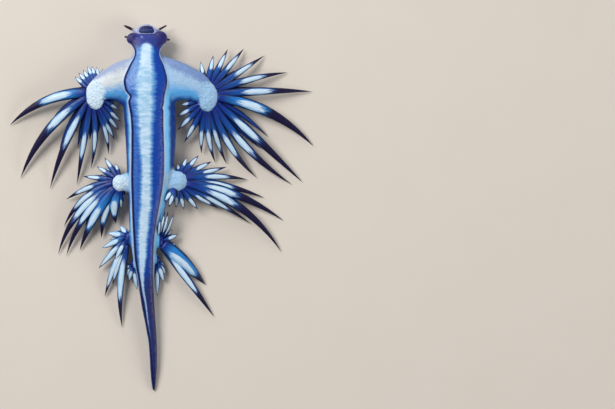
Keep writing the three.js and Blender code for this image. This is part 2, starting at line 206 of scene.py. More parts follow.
class BodyPlan:
    """Widths, heights and the stripe down the whole body, read at any distance ahead."""

    TAIL_END = -23.1
    SOLE_FRONT = 12.62
    STATIONS = (
        Station(-23.1, 0.58, 0.1, 0.58, 0.1, 0.28),
        Station(-22.0, 0.56, 0.24, 0.56, 0.24, 0.55),
        Station(-20.0, 0.55, 0.36, 0.55, 0.36, 0.85),
        Station(-18.0, 0.45, 0.43, 0.45, 0.43, 1.05),
        Station(-16.0, 0.2, 0.55, 0.2, 0.55, 1.25),
        Station(-14.0, -0.05, 0.68, -0.05, 0.68, 1.5),
        Station(-12.0, -0.22, 0.78, -0.22, 0.82, 1.8),
        Station(-10.0, -0.38, 0.98, -0.36, 1.1, 2.15),
        Station(-8.0, -0.4, 1.1, -0.34, 1.42, 2.5),
        Station(-6.0, -0.32, 1.28, -0.2, 1.68, 2.85),
        Station(-4.0, -0.17, 1.5, 0.02, 1.95, 3.15),
        Station(-2.0, -0.05, 1.68, 0.18, 2.24, 3.42),
        Station(1.0, 0.0, 1.7, 0.28, 2.46, 3.7),
        Station(4.5, -0.08, 1.72, 0.2, 2.58, 3.85),
        Station(6.2, -0.2, 1.92, 0.1, 2.58, 3.8),
        Station(8.0, -0.22, 2.24, -0.08, 2.52, 3.6),
        Station(9.4, -0.12, 1.8, -0.1, 2.05, 3.3),
        Station(10.6, -0.07, 1.3, -0.07, 1.42, 2.95),
        Station(11.05, -0.06, 1.36, -0.06, 1.28, 2.8),
        Station(11.5, -0.05, 1.64, -0.05, 1.18, 2.62),
        Station(12.0, -0.05, 1.92, -0.05, 1.1, 2.45),
        Station(12.3, -0.05, 1.8, -0.05, 1.05, 2.36),
        Station(12.62, -0.05, 1.3, -0.05, 0.95, 2.25),
    )
    NOTCHES = (Notch(6.35, 0.3, 0.36, -1), Notch(5.2, 0.1, 0.2, 1))
    LOBES = (
        Ball((-1.4, 12.1, 1.93), (0.74, 0.63, 0.3)),
        Ball((1.23, 12.15, 1.93), (0.74, 0.75, 0.3)),
    )
    STRIPE = (
        StripeStation(-20.5, 0.42, 0.01),
        StripeStation(-18.1, 0.27, 0.04),
        StripeStation(-16.3, 0.02, 0.07),
        StripeStation(-14.3, -0.22, 0.09),
        StripeStation(-12.8, -0.5, 0.15),
        StripeStation(-12.0, -0.58, 0.22),
        StripeStation(-10.0, -0.55, 0.38),
        StripeStation(-8.0, -0.5, 0.5),
        StripeStation(-4.0, -0.18, 0.57),
        StripeStation(0.9, -0.17, 0.6),
        StripeStation(3.0, -0.25, 0.75),
        StripeStation(5.1, -0.26, 0.88),
        StripeStation(6.5, -0.28, 0.9),
        StripeStation(7.9, -0.28, 0.98),
        StripeStation(10.0, -0.15, 0.68),
        StripeStation(11.3, -0.13, 0.6),
        StripeStation(11.55, -0.12, 0.5),
        StripeStation(11.8, -0.12, 0.2),
        StripeStation(12.0, -0.12, -0.2),
    )

    def __init__(self) -> None:
        """Draw a smooth curve through each column of the stations."""
        self.sole_x = self._curve(self.STATIONS, "sole_x")
        self.sole_half = self._curve(self.STATIONS, "sole_half")
        self.back_x = self._curve(self.STATIONS, "back_x")
        self.back_half = self._curve(self.STATIONS, "back_half")
        self.top = self._curve(self.STATIONS, "top")
        self.stripe_x = self._curve(self.STRIPE, "middle")
        self.stripe_half = self._curve(self.STRIPE, "half")

    @staticmethod
    def _curve(stations: Sequence[Union[Station, StripeStation]], column: str) -> Profile:
        """Draw a smooth curve through one column of the stations."""
        values = [getattr(station, column) for station in stations]
        return Profile([station.ahead for station in stations], values)

    def margin(self, ahead: Union[float, np.ndarray], side: int) -> np.ndarray:
        """Give the sole's margin.

        Args:
            ahead: One distance ahead, or an array of them.
            side: -1 for the margin on the photograph's left, 1 for the one on its right.

        Returns:
            The margin's place across the body.
        """
        edge = self.sole_x(ahead) + side * self.sole_half(ahead)
        for notch in self.NOTCHES:
            if notch.side == side:
                edge = edge - side * notch.deep * np.exp(-(((ahead - notch.ahead) / notch.long) ** 2))
        return edge

    def inside_sole(self, x: np.ndarray, y: np.ndarray) -> np.ndarray:
        """Tell how far points are inside the sole's outline, seen from above.

        Args:
            x: The points' places across the body.
            y: Their distances ahead.

        Returns:
            The distance in millimetres, negative outside.
        """
        strip = np.minimum(x - self.margin(y, -1), self.margin(y, 1) - x)
        inside = np.minimum(strip, self.SOLE_FRONT - y)
        for lobe in self.LOBES:
            away = np.hypot((x - lobe.centre[0]) / lobe.size[0], (y - lobe.centre[1]) / lobe.size[1])
            inside = np.maximum(inside, (1 - away) * min(lobe.size[:2]))
        return inside


@dataclass(frozen=True)
class Ceras:
    """One finger of a fan.

    Its tip's bearing from the hub in degrees from +X towards +Y, its reach, how far its middle bows
    forwards, how much broader it is than its reach gives, how far its pale mark moves outwards as a
    share of the reach, its root's width as a share of the greatest, how far its tip is lifted, and
    how far its pale mark lies to one side, as a share of its half width.
    """

    bearing: float
    reach: float
    bow: float = 0.0
    broadness: float = 1.0
    mark_shift: float = 0.0
    root_width: float = 0.55
    lift: float = 0.0
    mark_aside: float = 0.08


@dataclass(frozen=True)
class Fan:
    """A stalk's pad and the cerata round its rim, from the first rim bearing to the last.

    A pad that is not pale is part of the flank. The pale marks' inner and outer ends move outwards by
    shares of the reach, and their half breadth is a share of the ceras's.
    """

    node: str
    hub: tuple[float, float, float]
    pad: tuple[float, float, float]
    rim: tuple[float, float]
    cerata: tuple[Ceras, ...]
    armed: bool = False
    pale: bool = True
    mark_shift: float = 0.0
    tip_shift: float = 0.0
    mark_breadth: float = 0.74

    def rim_bearing(self, index: int) -> float:
        """Give the bearing, in degrees, of one ceras's root on the rim."""
        return self.rim[0] + (self.rim[1] - self.rim[0]) * index / (len(self.cerata) - 1)


FANS = (
    Fan(
        "cerata_front_left", (-5.2, 6.5, 2.25), (1.0, 1.5, 0.45), (40, 350),
        (
            Ceras(75, 2.7), Ceras(88, 2.8), Ceras(98, 2.9), Ceras(106, 3.0), Ceras(117, 2.8),
            Ceras(128, 2.8), Ceras(139, 2.8), Ceras(199.6, 9.2, 0.9, 1.2, -0.16, 1.0),
            Ceras(228, 11.3, 0.95, 1.1, -0.13), Ceras(244, 10.5, 0.4, 0.95, -0.08),
            Ceras(258, 9.2, 0, 0.9), Ceras(266, 7.4, -0.35, 0.9), Ceras(282, 6.1, -0.35, 0.9),
            Ceras(293, 4.9), Ceras(303, 4.2), Ceras(313, 3.6), Ceras(328, 2.7), Ceras(348, 2.3),
        ),
        armed=True,
    ),
    Fan(
        "cerata_front_right", (5.95, 6.3, 2.25), (1.05, 1.5, 0.45), (121, -159),
        (
            Ceras(119, 2.75), Ceras(101, 3.6), Ceras(82, 4.2), Ceras(67, 5.2), Ceras(53, 6.1),
            Ceras(36, 7.1), Ceras(17, 8.4, 0.3), Ceras(3, 10.5, 0.2), Ceras(-25, 11.7, 1.05, 1.25, -0.13),
            Ceras(-42, 12.8, 0.1, 0.95), Ceras(-46, 12.2, -0.7, 0.95, 0.1), Ceras(-58.6, 9.5, -0.6),
            Ceras(-74, 7.0, -0.25), Ceras(-83, 6.7, -0.35), Ceras(-96, 5.7, -0.2), Ceras(-117, 5.1),
            Ceras(-132, 4.5), Ceras(-147, 3.6), Ceras(-163, 2.8),
        ),
        armed=True,
    ),
    Fan(
        "cerata_middle_left", (-2.75, -2.3, 2.0), (0.8, 0.86, 0.42), (100, 285),
        (
            Ceras(104, 2.0), Ceras(122, 3.0), Ceras(145, 2.9), Ceras(170, 3.8), Ceras(197, 5.7, 0.3),
            Ceras(218, 7.2, 0.8), Ceras(229, 9.5, 1.0), Ceras(233.5, 9.1, 0.75),
            Ceras(239, 7.9, 0.4, 1.35), Ceras(251, 5.8, 0.4, 1.3, -0.04), Ceras(264, 4.1, 0.3, 1.6, -0.1),
            Ceras(272, 2.6), Ceras(282, 1.8),
        ),
        mark_shift=-0.1,
        tip_shift=-0.06,
    ),
    Fan(
        "cerata_middle_right", (3.0, -2.1, 2.0), (0.95, 1.0, 0.42), (85, -122),
        (
            Ceras(90, 1.7), Ceras(69, 2.5), Ceras(51, 3.3), Ceras(30, 3.9), Ceras(16, 5.1),
            Ceras(1, 7.0, 0.3), Ceras(-11, 8.8, 0.35), Ceras(-20.7, 11.3, 0.7, 1.05),
            Ceras(-34.7, 12.6, 1.3, 0.95), Ceras(-30.5, 8.5, 0.2, 0.8), Ceras(-34, 4.9), Ceras(-55, 3.5),
            Ceras(-78, 2.9), Ceras(-94, 2.7), Ceras(-109, 2.8, lift=0.8), Ceras(-122, 2.5, lift=1.0),
        ),
        mark_shift=-0.1,
        tip_shift=-0.06,
    ),
    Fan(
        "cerata_rear_left", (-1.95, -7.85, 1.35), (0.42, 0.7, 0.4), (118, 262),
        (
            Ceras(124, 1.5, 0, 1.2), Ceras(166, 2.15, 0, 1.3), Ceras(200, 2.8, 0, 1.15),
            Ceras(225, 4.2, 0, 1.1), Ceras(238, 2.5, 0, 0.95, 0, 0.7, 0.4), Ceras(248, 6.3, 0.2),
            Ceras(251, 4.9, 0.1, 1.1, 0, 0.55, 0.1), Ceras(266, 9.0, 0.45, 0.95),
        ),
        pale=False,
        mark_shift=-0.33,
        mark_breadth=0.84,
    ),
    Fan(
        "cerata_rear_right", (1.2, -8.1, 1.35), (0.4, 0.7, 0.4), (125, -62),
        (
            Ceras(89, 2.1, 0, 0.55, -0.2, lift=1.5), Ceras(80, 3.1, 0, 0.5, -0.25, lift=1.4),
            Ceras(75, 3.15, -0.12, 0.5, -0.25, lift=1.1), Ceras(64, 3.1, -0.15, 0.5, -0.2, lift=0.7),
            Ceras(20, 1.9), Ceras(-44, 6.3, 0.15, 2.0, -0.08, 0.75, mark_aside=0.42),
            Ceras(-54.6, 9.35, 0.1),
        ),
        pale=False,
        mark_shift=-0.25,
        mark_breadth=0.72,
    ),
    Fan(
        "cerata_tail_left", (-1.5, -10.4, 0.95), (0.3, 0.42, 0.35), (215, 290),
        (Ceras(205, 0.95), Ceras(242, 1.35), Ceras(257, 1.7), Ceras(279, 2.6, 0, 0.9)),
        pale=False,
        mark_shift=-0.35,
        mark_breadth=0.84,
    ),
    Fan(
        "cerata_tail_right", (0.95, -9.95, 0.95), (0.3, 0.42, 0.35), (-35, -95),
        (Ceras(-50, 1.0), Ceras(-61, 1.65), Ceras(-74, 2.3), Ceras(-90, 3.7, 0, 0.85)),
        pale=False,
        mark_shift=-0.35,
        mark_breadth=0.84,
    ),
)


@dataclass
class Ring:
    """One cross-section: its centre, half width, and how far it reaches over and under the centre."""

    centre: Vector
    across: Vector
    over: Vector
    under: Vector
    squareness: float = 2.0
    dome: float = 0.0

    def point(self, turn: float) -> Vector:
        """Give the point of the ring at one angle.

        Args:
            turn: The angle from the across direction, in radians.

        Returns:
            The point, never under the floor.
        """
        aside = squared(math.cos(turn), self.squareness)
        rise = squared(math.sin(turn), self.squareness)
        point = self.centre + self.across * aside + (self.over if rise > 0 else self.under) * rise
        point.z = max(point.z - self.dome * aside * aside, 0.0)
        return point


@dataclass(frozen=True)
class Path:
    """A bend with a root, a middle that pulls it aside, and a tip."""

    root: Vector
    bend: Vector
    tip: Vector

    def ring(self, share: float, half_width: float, half_depth: float, squareness: float = 2.0) -> Ring:
        """Make the cross-section at one share of the way.

        Args:
            share: 0 at the root and 1 at the tip.
            half_width: Half the width, level with the floor.
            half_depth: Half the depth, square to the path.
            squareness: 2 for an ellipse, more for a squarer section.

        Returns:
            The ring.
        """
        back = 1 - share
        centre = self.root * back * back + self.bend * 2 * back * share + self.tip * share * share
        tangent = ((self.bend - self.root) * back + (self.tip - self.bend) * share).normalized()
        side = tangent.cross(Vector((0, 0, 1))).normalized()
        over = side.cross(tangent) * half_depth
        return Ring(centre, side * half_width, over, over, squareness)


def add_tube(
    bm: bmesh.types.BMesh, sides: int, rings: int, ring_at: Callable[[float], Ring]
) -> list[tuple[bmesh.types.BMVert, float, float]]:
    """Roll a grid up into a tube.

    Args:
        bm: The mesh that the tube is added to.
        sides: Faces round the tube.
        rings: Faces along it.
        ring_at: Gives the cross-section at a share of the length. The first and last are points.

    Returns:
        Each new vertex with its share of the length and its angle round the tube.
    """
    made = bmesh.ops.create_grid(bm, x_segments=rings, y_segments=sides, size=0.5)["verts"]
    sections = [ring_at(index / rings) for index in range(rings + 1)]
    placed = []
    for vert in made:
        index = round((vert.co.x + 0.5) * rings)
        turn = round((vert.co.y + 0.5) * sides) / sides * math.tau
        vert.co = sections[index].point(turn)
        placed.append((vert, index / rings, turn))
    return placed


def close_up(bm: bmesh.types.BMesh, distance: float = 1e-4) -> None:
    """Weld a mesh's seams and poles, and turn its faces outwards.

    Args:
        bm: The mesh.
        distance: How near two vertices are to become one.
    """
    bmesh.ops.remove_doubles(bm, verts=bm.verts, dist=distance)
    bmesh.ops.dissolve_degenerate(bm, edges=bm.edges, dist=distance)
    bmesh.ops.recalc_face_normals(bm, faces=bm.faces)


def to_object(bm: bmesh.types.BMesh, name: str, scale: float = 1.0) -> bpy.types.Object:
    """Put a finished bmesh into the scene as an object at the origin.

    Args:
        bm: The mesh, which is freed.
        name: The object's name.
        scale: What its sizes are multiplied by.

    Returns:
        The new object.
    """
    bmesh.ops.scale(bm, vec=(scale, scale, scale), verts=bm.verts)
    mesh = bpy.data.meshes.new(name)
    bm.to_mesh(mesh)
    bm.free()
    obj = bpy.data.objects.new(name, mesh)
    bpy.context.scene.collection.objects.link(obj)
    return obj


def add_ball(bm: bmesh.types.BMesh, ball: Ball) -> None:
    """Add an ellipsoid.

    Args:
        bm: The mesh that it is added to.
        ball: The ellipsoid.
    """
    made = bmesh.ops.create_icosphere(bm, subdivisions=4, radius=1.0)["verts"]
    bmesh.ops.scale(bm, vec=ball.size, verts=made)
    bmesh.ops.translate(bm, vec=ball.centre, verts=made)


def shade_smooth(mesh: bpy.types.Mesh) -> None:
    """Shade every face of a mesh smoothly."""
    mesh.polygons.foreach_set("use_smooth", np.ones(len(mesh.polygons), bool))


def settle(obj: bpy.types.Object) -> None:
    """Make an object's modifiers part of its mesh.

    Args:
        obj: The object, which keeps its name and groups.
    """
    bpy.context.view_layer.update()
    depsgraph = bpy.context.evaluated_depsgraph_get()
    settled = bpy.data.meshes.new_from_object(obj.evaluated_get(depsgraph))
    obj.modifiers.clear()
    obj.data = settled


def read_points(mesh: bpy.types.Mesh) -> np.ndarray:
    """Give a mesh's vertices as an array of rows of x, y and z.

    Args:
        mesh: The mesh.

    Returns:
        One row for each vertex.
    """
    points = np.empty(len(mesh.vertices) * 3, np.float32)
    mesh.vertices.foreach_get("co", points)
    return points.reshape(-1, 3).astype(float)


def add_mark(mesh: bpy.types.Mesh, name: str, values: np.ndarray) -> None:
    """Store one number for each vertex, for a finish to read.

    Args:
        mesh: The mesh.
        name: The attribute's name.
        values: One number for each vertex.
    """
    attribute = mesh.attributes.new(name, "FLOAT", "POINT")
    attribute.data.foreach_set("value", values.astype(np.float32))


Value = Union["Wire", float, Sequence[float]]
Inputs = dict[Union[int, str], Value]


class Wire:
    """The output of a node, on which arithmetic adds Math nodes."""

    def __init__(self, board: "Board", socket: bpy.types.NodeSocket) -> None:
        """Keep the board that the node is on, and its output."""
        self.board = board
        self.socket = socket

    def _math(self, operation: str, *values: Value) -> "Wire":
        """Add a Math node on these values."""
        return self.board.add("ShaderNodeMath", {"operation": operation}, dict(enumerate(values)))

    def __add__(self, other: Value) -> "Wire":
        """Add."""
        return self._math("ADD", self, other)

    def __sub__(self, other: Value) -> "Wire":
        """Subtract."""
        return self._math("SUBTRACT", self, other)

    def __rsub__(self, other: Value) -> "Wire":
        """Subtract from a number."""
        return self._math("SUBTRACT", other, self)

    def __mul__(self, other: Value) -> "Wire":
        """Multiply."""
        return self._math("MULTIPLY", self, other)

    def __truediv__(self, other: Value) -> "Wire":
        """Divide."""
        return self._math("DIVIDE", self, other)

    def __abs__(self) -> "Wire":
        """Drop the sign."""
        return self._math("ABSOLUTE", self)

    __radd__ = __add__
    __rmul__ = __mul__

    def step(self, low: Value, high: Value) -> "Wire":
        """Rise smoothly from 0 at low to 1 at high.

        Args:
            low: Where the step leaves 0.
            high: Where it reaches 1.

        Returns:
            The step, 0 to 1.
        """
        inputs = {"Value": self, "From Min": low, "From Max": high}
        return self.board.add("ShaderNodeMapRange", {"interpolation_type": "SMOOTHSTEP"}, inputs)


class Board:
    """One material's nodes."""

    def __init__(self, name: str) -> None:
        """Start a material with nothing but its output.

        Args:
            name: The material's name.
        """
        self.material = bpy.data.materials.new(name)
        self.material.use_nodes = True
        self.tree = self.material.node_tree
        self.tree.nodes.clear()

    def add(self, kind: str, settings: dict[str, object], inputs: Inputs, output: int = 0) -> Wire:
        """Add one node.

        Args:
            kind: The node's type.
            settings: Its properties, set first. "stops" are a ramp's places and colours.
            inputs: A value or a wire for each socket, by name or number.
            output: Which output to give back.

        Returns:
            The node's output.
        """
        node = self.tree.nodes.new(kind)
        for name, setting in settings.items():
            if name == "stops":
                self._set_stops(node.color_ramp, setting)
            else:
                setattr(node, name, setting)
        for key, value in inputs.items():
            socket = node.inputs[key]
            if isinstance(value, Wire):
                self.tree.links.new(value.socket, socket)
            else:
                socket.default_value = value
        return Wire(self, node.outputs[output] if node.outputs else None)

    @staticmethod
    def _set_stops(ramp: bpy.types.ColorRamp, stops: Sequence[tuple[float, Colour]]) -> None:
        """Give a ramp its stops, in rising order.

        Args:
            ramp: The ramp.
            stops: The place and colour of each.
        """
        while len(ramp.elements) < len(stops):
            ramp.elements.new(1.0)
        for element, (place, colour) in zip(ramp.elements, stops):
            element.position = place
            element.color = colour

    def mark(self, name: str) -> Wire:
        """Read a number stored on the vertices."""
        return self.add("ShaderNodeAttribute", {"attribute_name": name}, {}, output=2)

    def place(self) -> Wire:
        """Read the point's place in the row frame, in metres."""
        return self.add("ShaderNodeTexCoord", {}, {}, output=3)

    def axis(self, index: int) -> Wire:
        """Read one coordinate of the point's place, in millimetres."""
        return self.add("ShaderNodeSeparateXYZ", {}, {0: self.place()}, output=index) * (1 / MM)

    def cloud(self, grain: float, detail: float = 3.0, stretch: Sequence[float] = (1, 1, 1)) -> Wire:
        """Add a noise pattern.

        Args:
            grain: The size of its lumps, in millimetres.
            detail: How many finer layers it has.
            stretch: How much longer the lumps are along each axis.

        Returns:
            The noise, 0 to 1 and mostly near 0.5.
        """
        scale = [1 / (MM * grain * length) for length in stretch]
        vector = self.add("ShaderNodeMapping", {}, {"Vector": self.place(), "Scale": scale})
        return self.add("ShaderNodeTexNoise", {}, {"Vector": vector, "Scale": 1.0, "Detail": detail})

    def grains(self, grain: float) -> Wire:
        """Add a pattern of cells, 0 in the middle of each, by their size in millimetres.

        Args:
            grain: The cells' size, in millimetres.

        Returns:
            The distance from the nearest middle, as a share of a cell.
        """
        inputs = {"Vector": self.place(), "Scale": 1 / (MM * grain)}
        return self.add("ShaderNodeTexVoronoi", {}, inputs)

    def blend(self, share: Value, low: Value, high: Value) -> Wire:
        """Mix two colours.

        Args:
            share: 0 for the first colour and 1 for the second.
            low: The first colour.
            high: The second colour.

        Returns:
            The mixed colour.
        """
        inputs = {0: share, 6: low, 7: high}
        return self.add("ShaderNodeMix", {"data_type": "RGBA"}, inputs, output=2)

    def finish(
        self, colour: Value, roughness: Value, height: Union[Wire, None], depth: float, **constants: float
    ) -> bpy.types.Material:
        """Lead the patterns into the shader.

        Args:
            colour: The base colour.
            roughness: How rough the surface is.
            height: The relief, 0 to 1, or None for a smooth surface.
            depth: How deep the relief is, in millimetres.
            **constants: Values of the shader's other sockets, by name with underscores.

        Returns:
            The material.
        """
        inputs = {"Base Color": colour, "Roughness": roughness}
        inputs.update({name.replace("_", " "): value for name, value in constants.items()})
        if height is not None:
            inputs["Normal"] = self.add("ShaderNodeBump", {}, {"Distance": depth * MM, "Height": height})
        shader = self.add("ShaderNodeBsdfPrincipled", {}, inputs)
        self.add("ShaderNodeOutputMaterial", {}, {"Surface": shader})
        return self.material


@dataclass(frozen=True)
class Wetness:
    """How a wet, living surface shines."""

    roughness: float = 0.29
    specular: float = 0.3

    def constants(self) -> dict[str, float]:
        """Give the shader's fixed values."""
        return {"Specular_IOR_Level": self.specular}


class SkinPatterns:
    """The nodes that several regions of the skin's finish share. Each noise is about 0."""

    def __init__(self, board: Board) -> None:
        """Add the nodes.

        Args:
            board: The material's nodes.
        """
        self.board = board
        self.ahead = board.axis(1)
        self.right = board.axis(0).step(-1.0, 1.0)
        self.brushed = board.cloud(0.2, 3, (7, 1, 7)) - 0.5
        self.mottle = board.cloud(0.9, 4) - 0.5
        self.fine = board.cloud(0.14, 2) - 0.5
        self.grains = board.grains(0.13)
        self.sole = board.mark("sole")
        self.stripe = board.mark("stripe")
        self.pad = board.mark("pad")
        self.fade = 1.0 - (self.ahead + self.mottle * 1.2 + self.brushed * 0.5).step(11.3, 11.9)

    def behind(self, start: float, end: float) -> Wire:
        """Rise unevenly from 0 to 1 between two distances behind the origin, in millimetres."""
        return (self.ahead * -1.0 + self.mottle * 3.0).step(start, end)


@dataclass(frozen=True)
class SkinFinish:
    """Colours of the body: pale stripe, blue bands with a painted reflection on the sole's left, silvery
    flanks with painted light and shade, a painted glint on the head, dark head and dark tail.
    """

    royal: Colour = rgb(22, 66, 162)
    painted_sheen: Colour = rgb(52, 104, 188)
    painted_front_sheen: Colour = rgb(98, 142, 204)
    stripe_core: Colour = rgb(200, 224, 244)
    stripe_shade: Colour = rgb(156, 198, 226)
    stripe_fringe: Colour = rgb(84, 144, 206)
    edge_line: Colour = rgb(14, 24, 80)
    rim: Colour = rgb(186, 208, 238)
    flank_blue_lit: Colour = rgb(112, 196, 248)
    flank_blue_shaded: Colour = rgb(20, 64, 150)
    silver: Colour = rgb(150, 172, 204)
    arm_front_shaded_left: Colour = rgb(156, 170, 202)
    arm_front_shaded_right: Colour = rgb(116, 142, 190)
    arm_left: Colour = rgb(212, 218, 220)
    arm_right: Colour = rgb(160, 192, 222)
    arm_cyan: Colour = rgb(88, 164, 224)
    pad_left: Colour = rgb(216, 236, 248)
    pad_right: Colour = rgb(158, 196, 228)
    pad_pit: Colour = rgb(124, 168, 214)
    lobe_inner: Colour = rgb(40, 56, 136)
    lobe_outer: Colour = rgb(42, 34, 96)
    tail_dark: Colour = rgb(42, 46, 104)
    cap: Colour = rgb(20, 26, 68)
    cap_light: Colour = rgb(46, 60, 116)
    lobe_rim: Colour = rgb(72, 76, 146)
    painted_glint: Colour = rgb(150, 160, 226)
    lip: Colour = rgb(166, 174, 214)
    lip_shade: Colour = rgb(118, 134, 184)
    feeler_root: Colour = rgb(182, 190, 220)
    feeler_tip: Colour = rgb(30, 20, 28)
    ceras_root: Colour = rgb(20, 44, 124)
    wetness: Wetness = Wetness()
    relief: float = 0.05

    def material(self) -> bpy.types.Material:
        """Build the skin's material.

        Returns:
            The material, which reads the marks that Skin stores.
        """
        board = Board("wet_skin")
        shared = SkinPatterns(board)
        brushed, mottle, fine = shared.brushed, shared.mottle, shared.fine
        on_sole = (shared.sole + brushed * 0.03).step(-0.05, 0.0)
        colour = board.blend(on_sole, self._flank(shared), self._sole(shared))
        colour = self._pads(shared, self._head(shared, colour))
        feeler = board.mark("feeler")
        tipped = board.blend((feeler + mottle * 0.1).step(0.44, 0.6), self.feeler_root, self.feeler_tip)
        colour = board.blend(feeler.step(0.0, 0.05), colour, tipped)
        height = shared.pad.step(-0.05, 0.1) * shared.grains * -1.0 + brushed * 0.5 + fine * 0.5
        height = height + (board.cloud(0.45, 2) - 0.5) * 1.4
        rough = mottle * 0.2 + board.mark("fore") * 0.12 + self.wetness.roughness
        return board.finish(colour, rough, height, self.relief, **self.wetness.constants())

    def _sole(self, shared: SkinPatterns) -> Wire:
        """Colour the sole: royal blue bands with a painted reflection on the left, a pale stripe brushed
        across them, and its margin.

        Args:
            shared: The skin's patterns.

        Returns:
            The colour.
        """
        board, ahead, brushed, mottle = shared.board, shared.ahead, shared.brushed, shared.mottle
        side = board.mark("sole_side") * -1.0 + mottle * 0.5
        # Painted reflection: the sole's left band is lighter, standing in for the sky's reflection on its
        # slope.
        bands = board.blend(side.step(0.15, 0.8), self.royal, self.painted_sheen)
        # Painted reflection: the front of the left band is paler still, where the key lamp's light falls.
        fore = (ahead + mottle * 3.0).step(5.5, 10.0)
        bands = board.blend(fore * (side + brushed * 0.8).step(0.2, 0.7), bands, self.painted_front_sheen)
        tail = shared.behind(9.0, 14.0)
        bands = board.blend(tail, bands, self.tail_dark)
        stripe = shared.stripe + brushed * 0.8 + mottle * 0.15
        whitened = (ahead + mottle).step(8.6, 10.4) * 0.24
        shaded = (board.cloud(0.34, 5, (3, 1, 3)) + ahead * 0.014 - whitened).step(0.4, 0.72)
        mixed = board.blend(shaded, self.stripe_core, self.stripe_shade)
        shown = shared.fade * (1.0 - tail * 0.42)
        colour = board.blend(stripe.step(-0.35, 0.12) * shown, bands, self.stripe_fringe)
        colour = board.blend((stripe + mottle * 0.3).step(0.0, 0.5) * shown, colour, mixed)
        edge = shared.sole + brushed * 0.03
        neck = (ahead + mottle).step(9.0, 10.6) * 0.07
        dark = edge.step(0.02, 0.1) * (1.0 - (edge + side * -0.06 + neck).step(0.18, 0.34))
        colour = board.blend(dark, colour, self.edge_line)
        rim = board.blend(tail, self.rim, self.tail_dark)
        rim = board.blend((ahead + mottle * 0.6).step(11.3, 11.9), rim, self.lobe_rim)
        return board.blend(1.0 - edge.step(0.03, 0.1), colour, rim)

    def _flank(self, shared: SkinPatterns) -> Wire:
        """Colour the flanks: a band with painted light near the sole, a deep one with painted shade that
        comes sooner on the left, mottled arms, and silver below.

        Args:
            shared: The skin's patterns.

        Returns:
            The colour.
        """
        board, mottle = shared.board, shared.mottle
        outside = shared.sole * -1.0 + mottle * 0.25
        # Painted light and shade: the flank's blue is lit near the sole and deep blue further out, where
        # the side turns away.
        banded = board.blend(outside.step(0.02, 0.16), self.rim, self.flank_blue_lit)
        # Painted shade: the left flank turns deep sooner.
        shaded_side = (1.0 - shared.right) * 0.3
        banded = board.blend((outside + shaded_side).step(0.32, 0.7), banded, self.flank_blue_shaded)
        banded = board.blend(shared.pad.step(-0.55, -0.15), banded, self.pad_right)
        banded = board.blend(shared.behind(11.0, 15.5), banded, self.tail_dark)
        banded = board.blend(board.mark("arm"), banded, self._arms(shared))
        low = 1.0 - (board.mark("height") + mottle * 0.3).step(0.2, 0.45)
        banded = board.blend(low, banded, self.silver)
        return board.blend((board.mark("rooted") + mottle * 0.5).step(0.2, 0.6), banded, self.ceras_root)

    def _arms(self, shared: SkinPatterns) -> Wire:
        """Colour the stalks like arms: greyer in front as painted shade on the front face, pale, then
        cyan, and deep blue behind as painted shade.

        Args:
            shared: The skin's patterns.

        Returns:
            The colour.
        """
        board, fine = shared.board, shared.fine
        across = board.mark("arm_across") + shared.mottle * 0.4
        pale = board.blend(shared.right, self.arm_left, self.arm_right)
        # Painted shade: the arm's front face is greyer and darker.
        front = board.blend(shared.right, self.arm_front_shaded_left, self.arm_front_shaded_right)
        arm = board.blend((across + fine * 0.5).step(-0.8, -0.4), front, pale)
        arm = board.blend((across + fine * 0.4).step(-0.1, 0.5), arm, self.arm_cyan)
        # Painted shade: the arm's rear turns deep blue, where it lies in shadow by the cerata.
        return board.blend(across.step(0.55, 0.95), arm, self.flank_blue_shaded)

    def _head(self, shared: SkinPatterns, colour: Wire) -> Wire:
        """Darken the sole's lobes, paint a pale glint on the head, and give the snout a dark wrinkled cap
        inside pale lips.

        Args:
            shared: The skin's patterns.
            colour: The colour of the sole and the flanks.

        Returns:
            The colour with the head's over it.
        """
        board, brushed, mottle = shared.board, shared.brushed, shared.mottle
        fore = board.mark("fore") + mottle * 0.3
        outer = (abs(board.mark("sole_side")) + mottle * 0.5).step(0.35, 0.85)
        lobes = board.blend(outer, self.lobe_inner, self.lobe_outer)
        on_sole = shared.sole.step(0.06, 0.14) * (1.0 - shared.stripe.step(-0.3, 0.1) * shared.fade)
        colour = board.blend(fore.step(0.0, 0.85) * on_sole, colour, lobes)
        # Painted glint: a pale lilac streak on the left of the head that stands in for a wet highlight.
        colour = board.blend((board.mark("painted_glint") + brushed).step(0.0, 0.8) * 0.7, colour, self.painted_glint)
        snout = board.mark("snout") * (1.0 - shared.sole.step(-0.04, 0.02))
        wrinkled = board.blend((brushed + mottle * 0.4).step(-0.08, 0.2), self.cap, self.cap_light)
        cap = (board.mark("cap") + mottle * 0.15).step(0.0, 0.1)
        creased = (board.cloud(0.35, 2) + brushed * 0.3).step(0.42, 0.62)
        lips = board.blend(creased, self.lip, self.lip_shade)
        return board.blend(snout, colour, board.blend(cap, lips, wrinkled))

    def _pads(self, shared: SkinPatterns, colour: Wire) -> Wire:
        """Colour the stalks' pads: pale and grained, with a ragged edge.

        Args:
            shared: The skin's patterns.
            colour: The colour round the pads.

        Returns:
            The colour with the pads' over it.
        """
        board = shared.board
        ragged = shared.pad + shared.fine * 0.4 + (board.cloud(0.4, 3) - 0.5) * 0.5
        tinted = board.blend(shared.right, self.pad_left, self.pad_right)
        pits = (shared.grains + shared.fine * 0.5).step(0.45, 0.95)
        pitted = board.blend(pits * 0.45, tinted, self.pad_pit)
        return board.blend(ragged.step(-0.06, 0.1), colour, pitted)


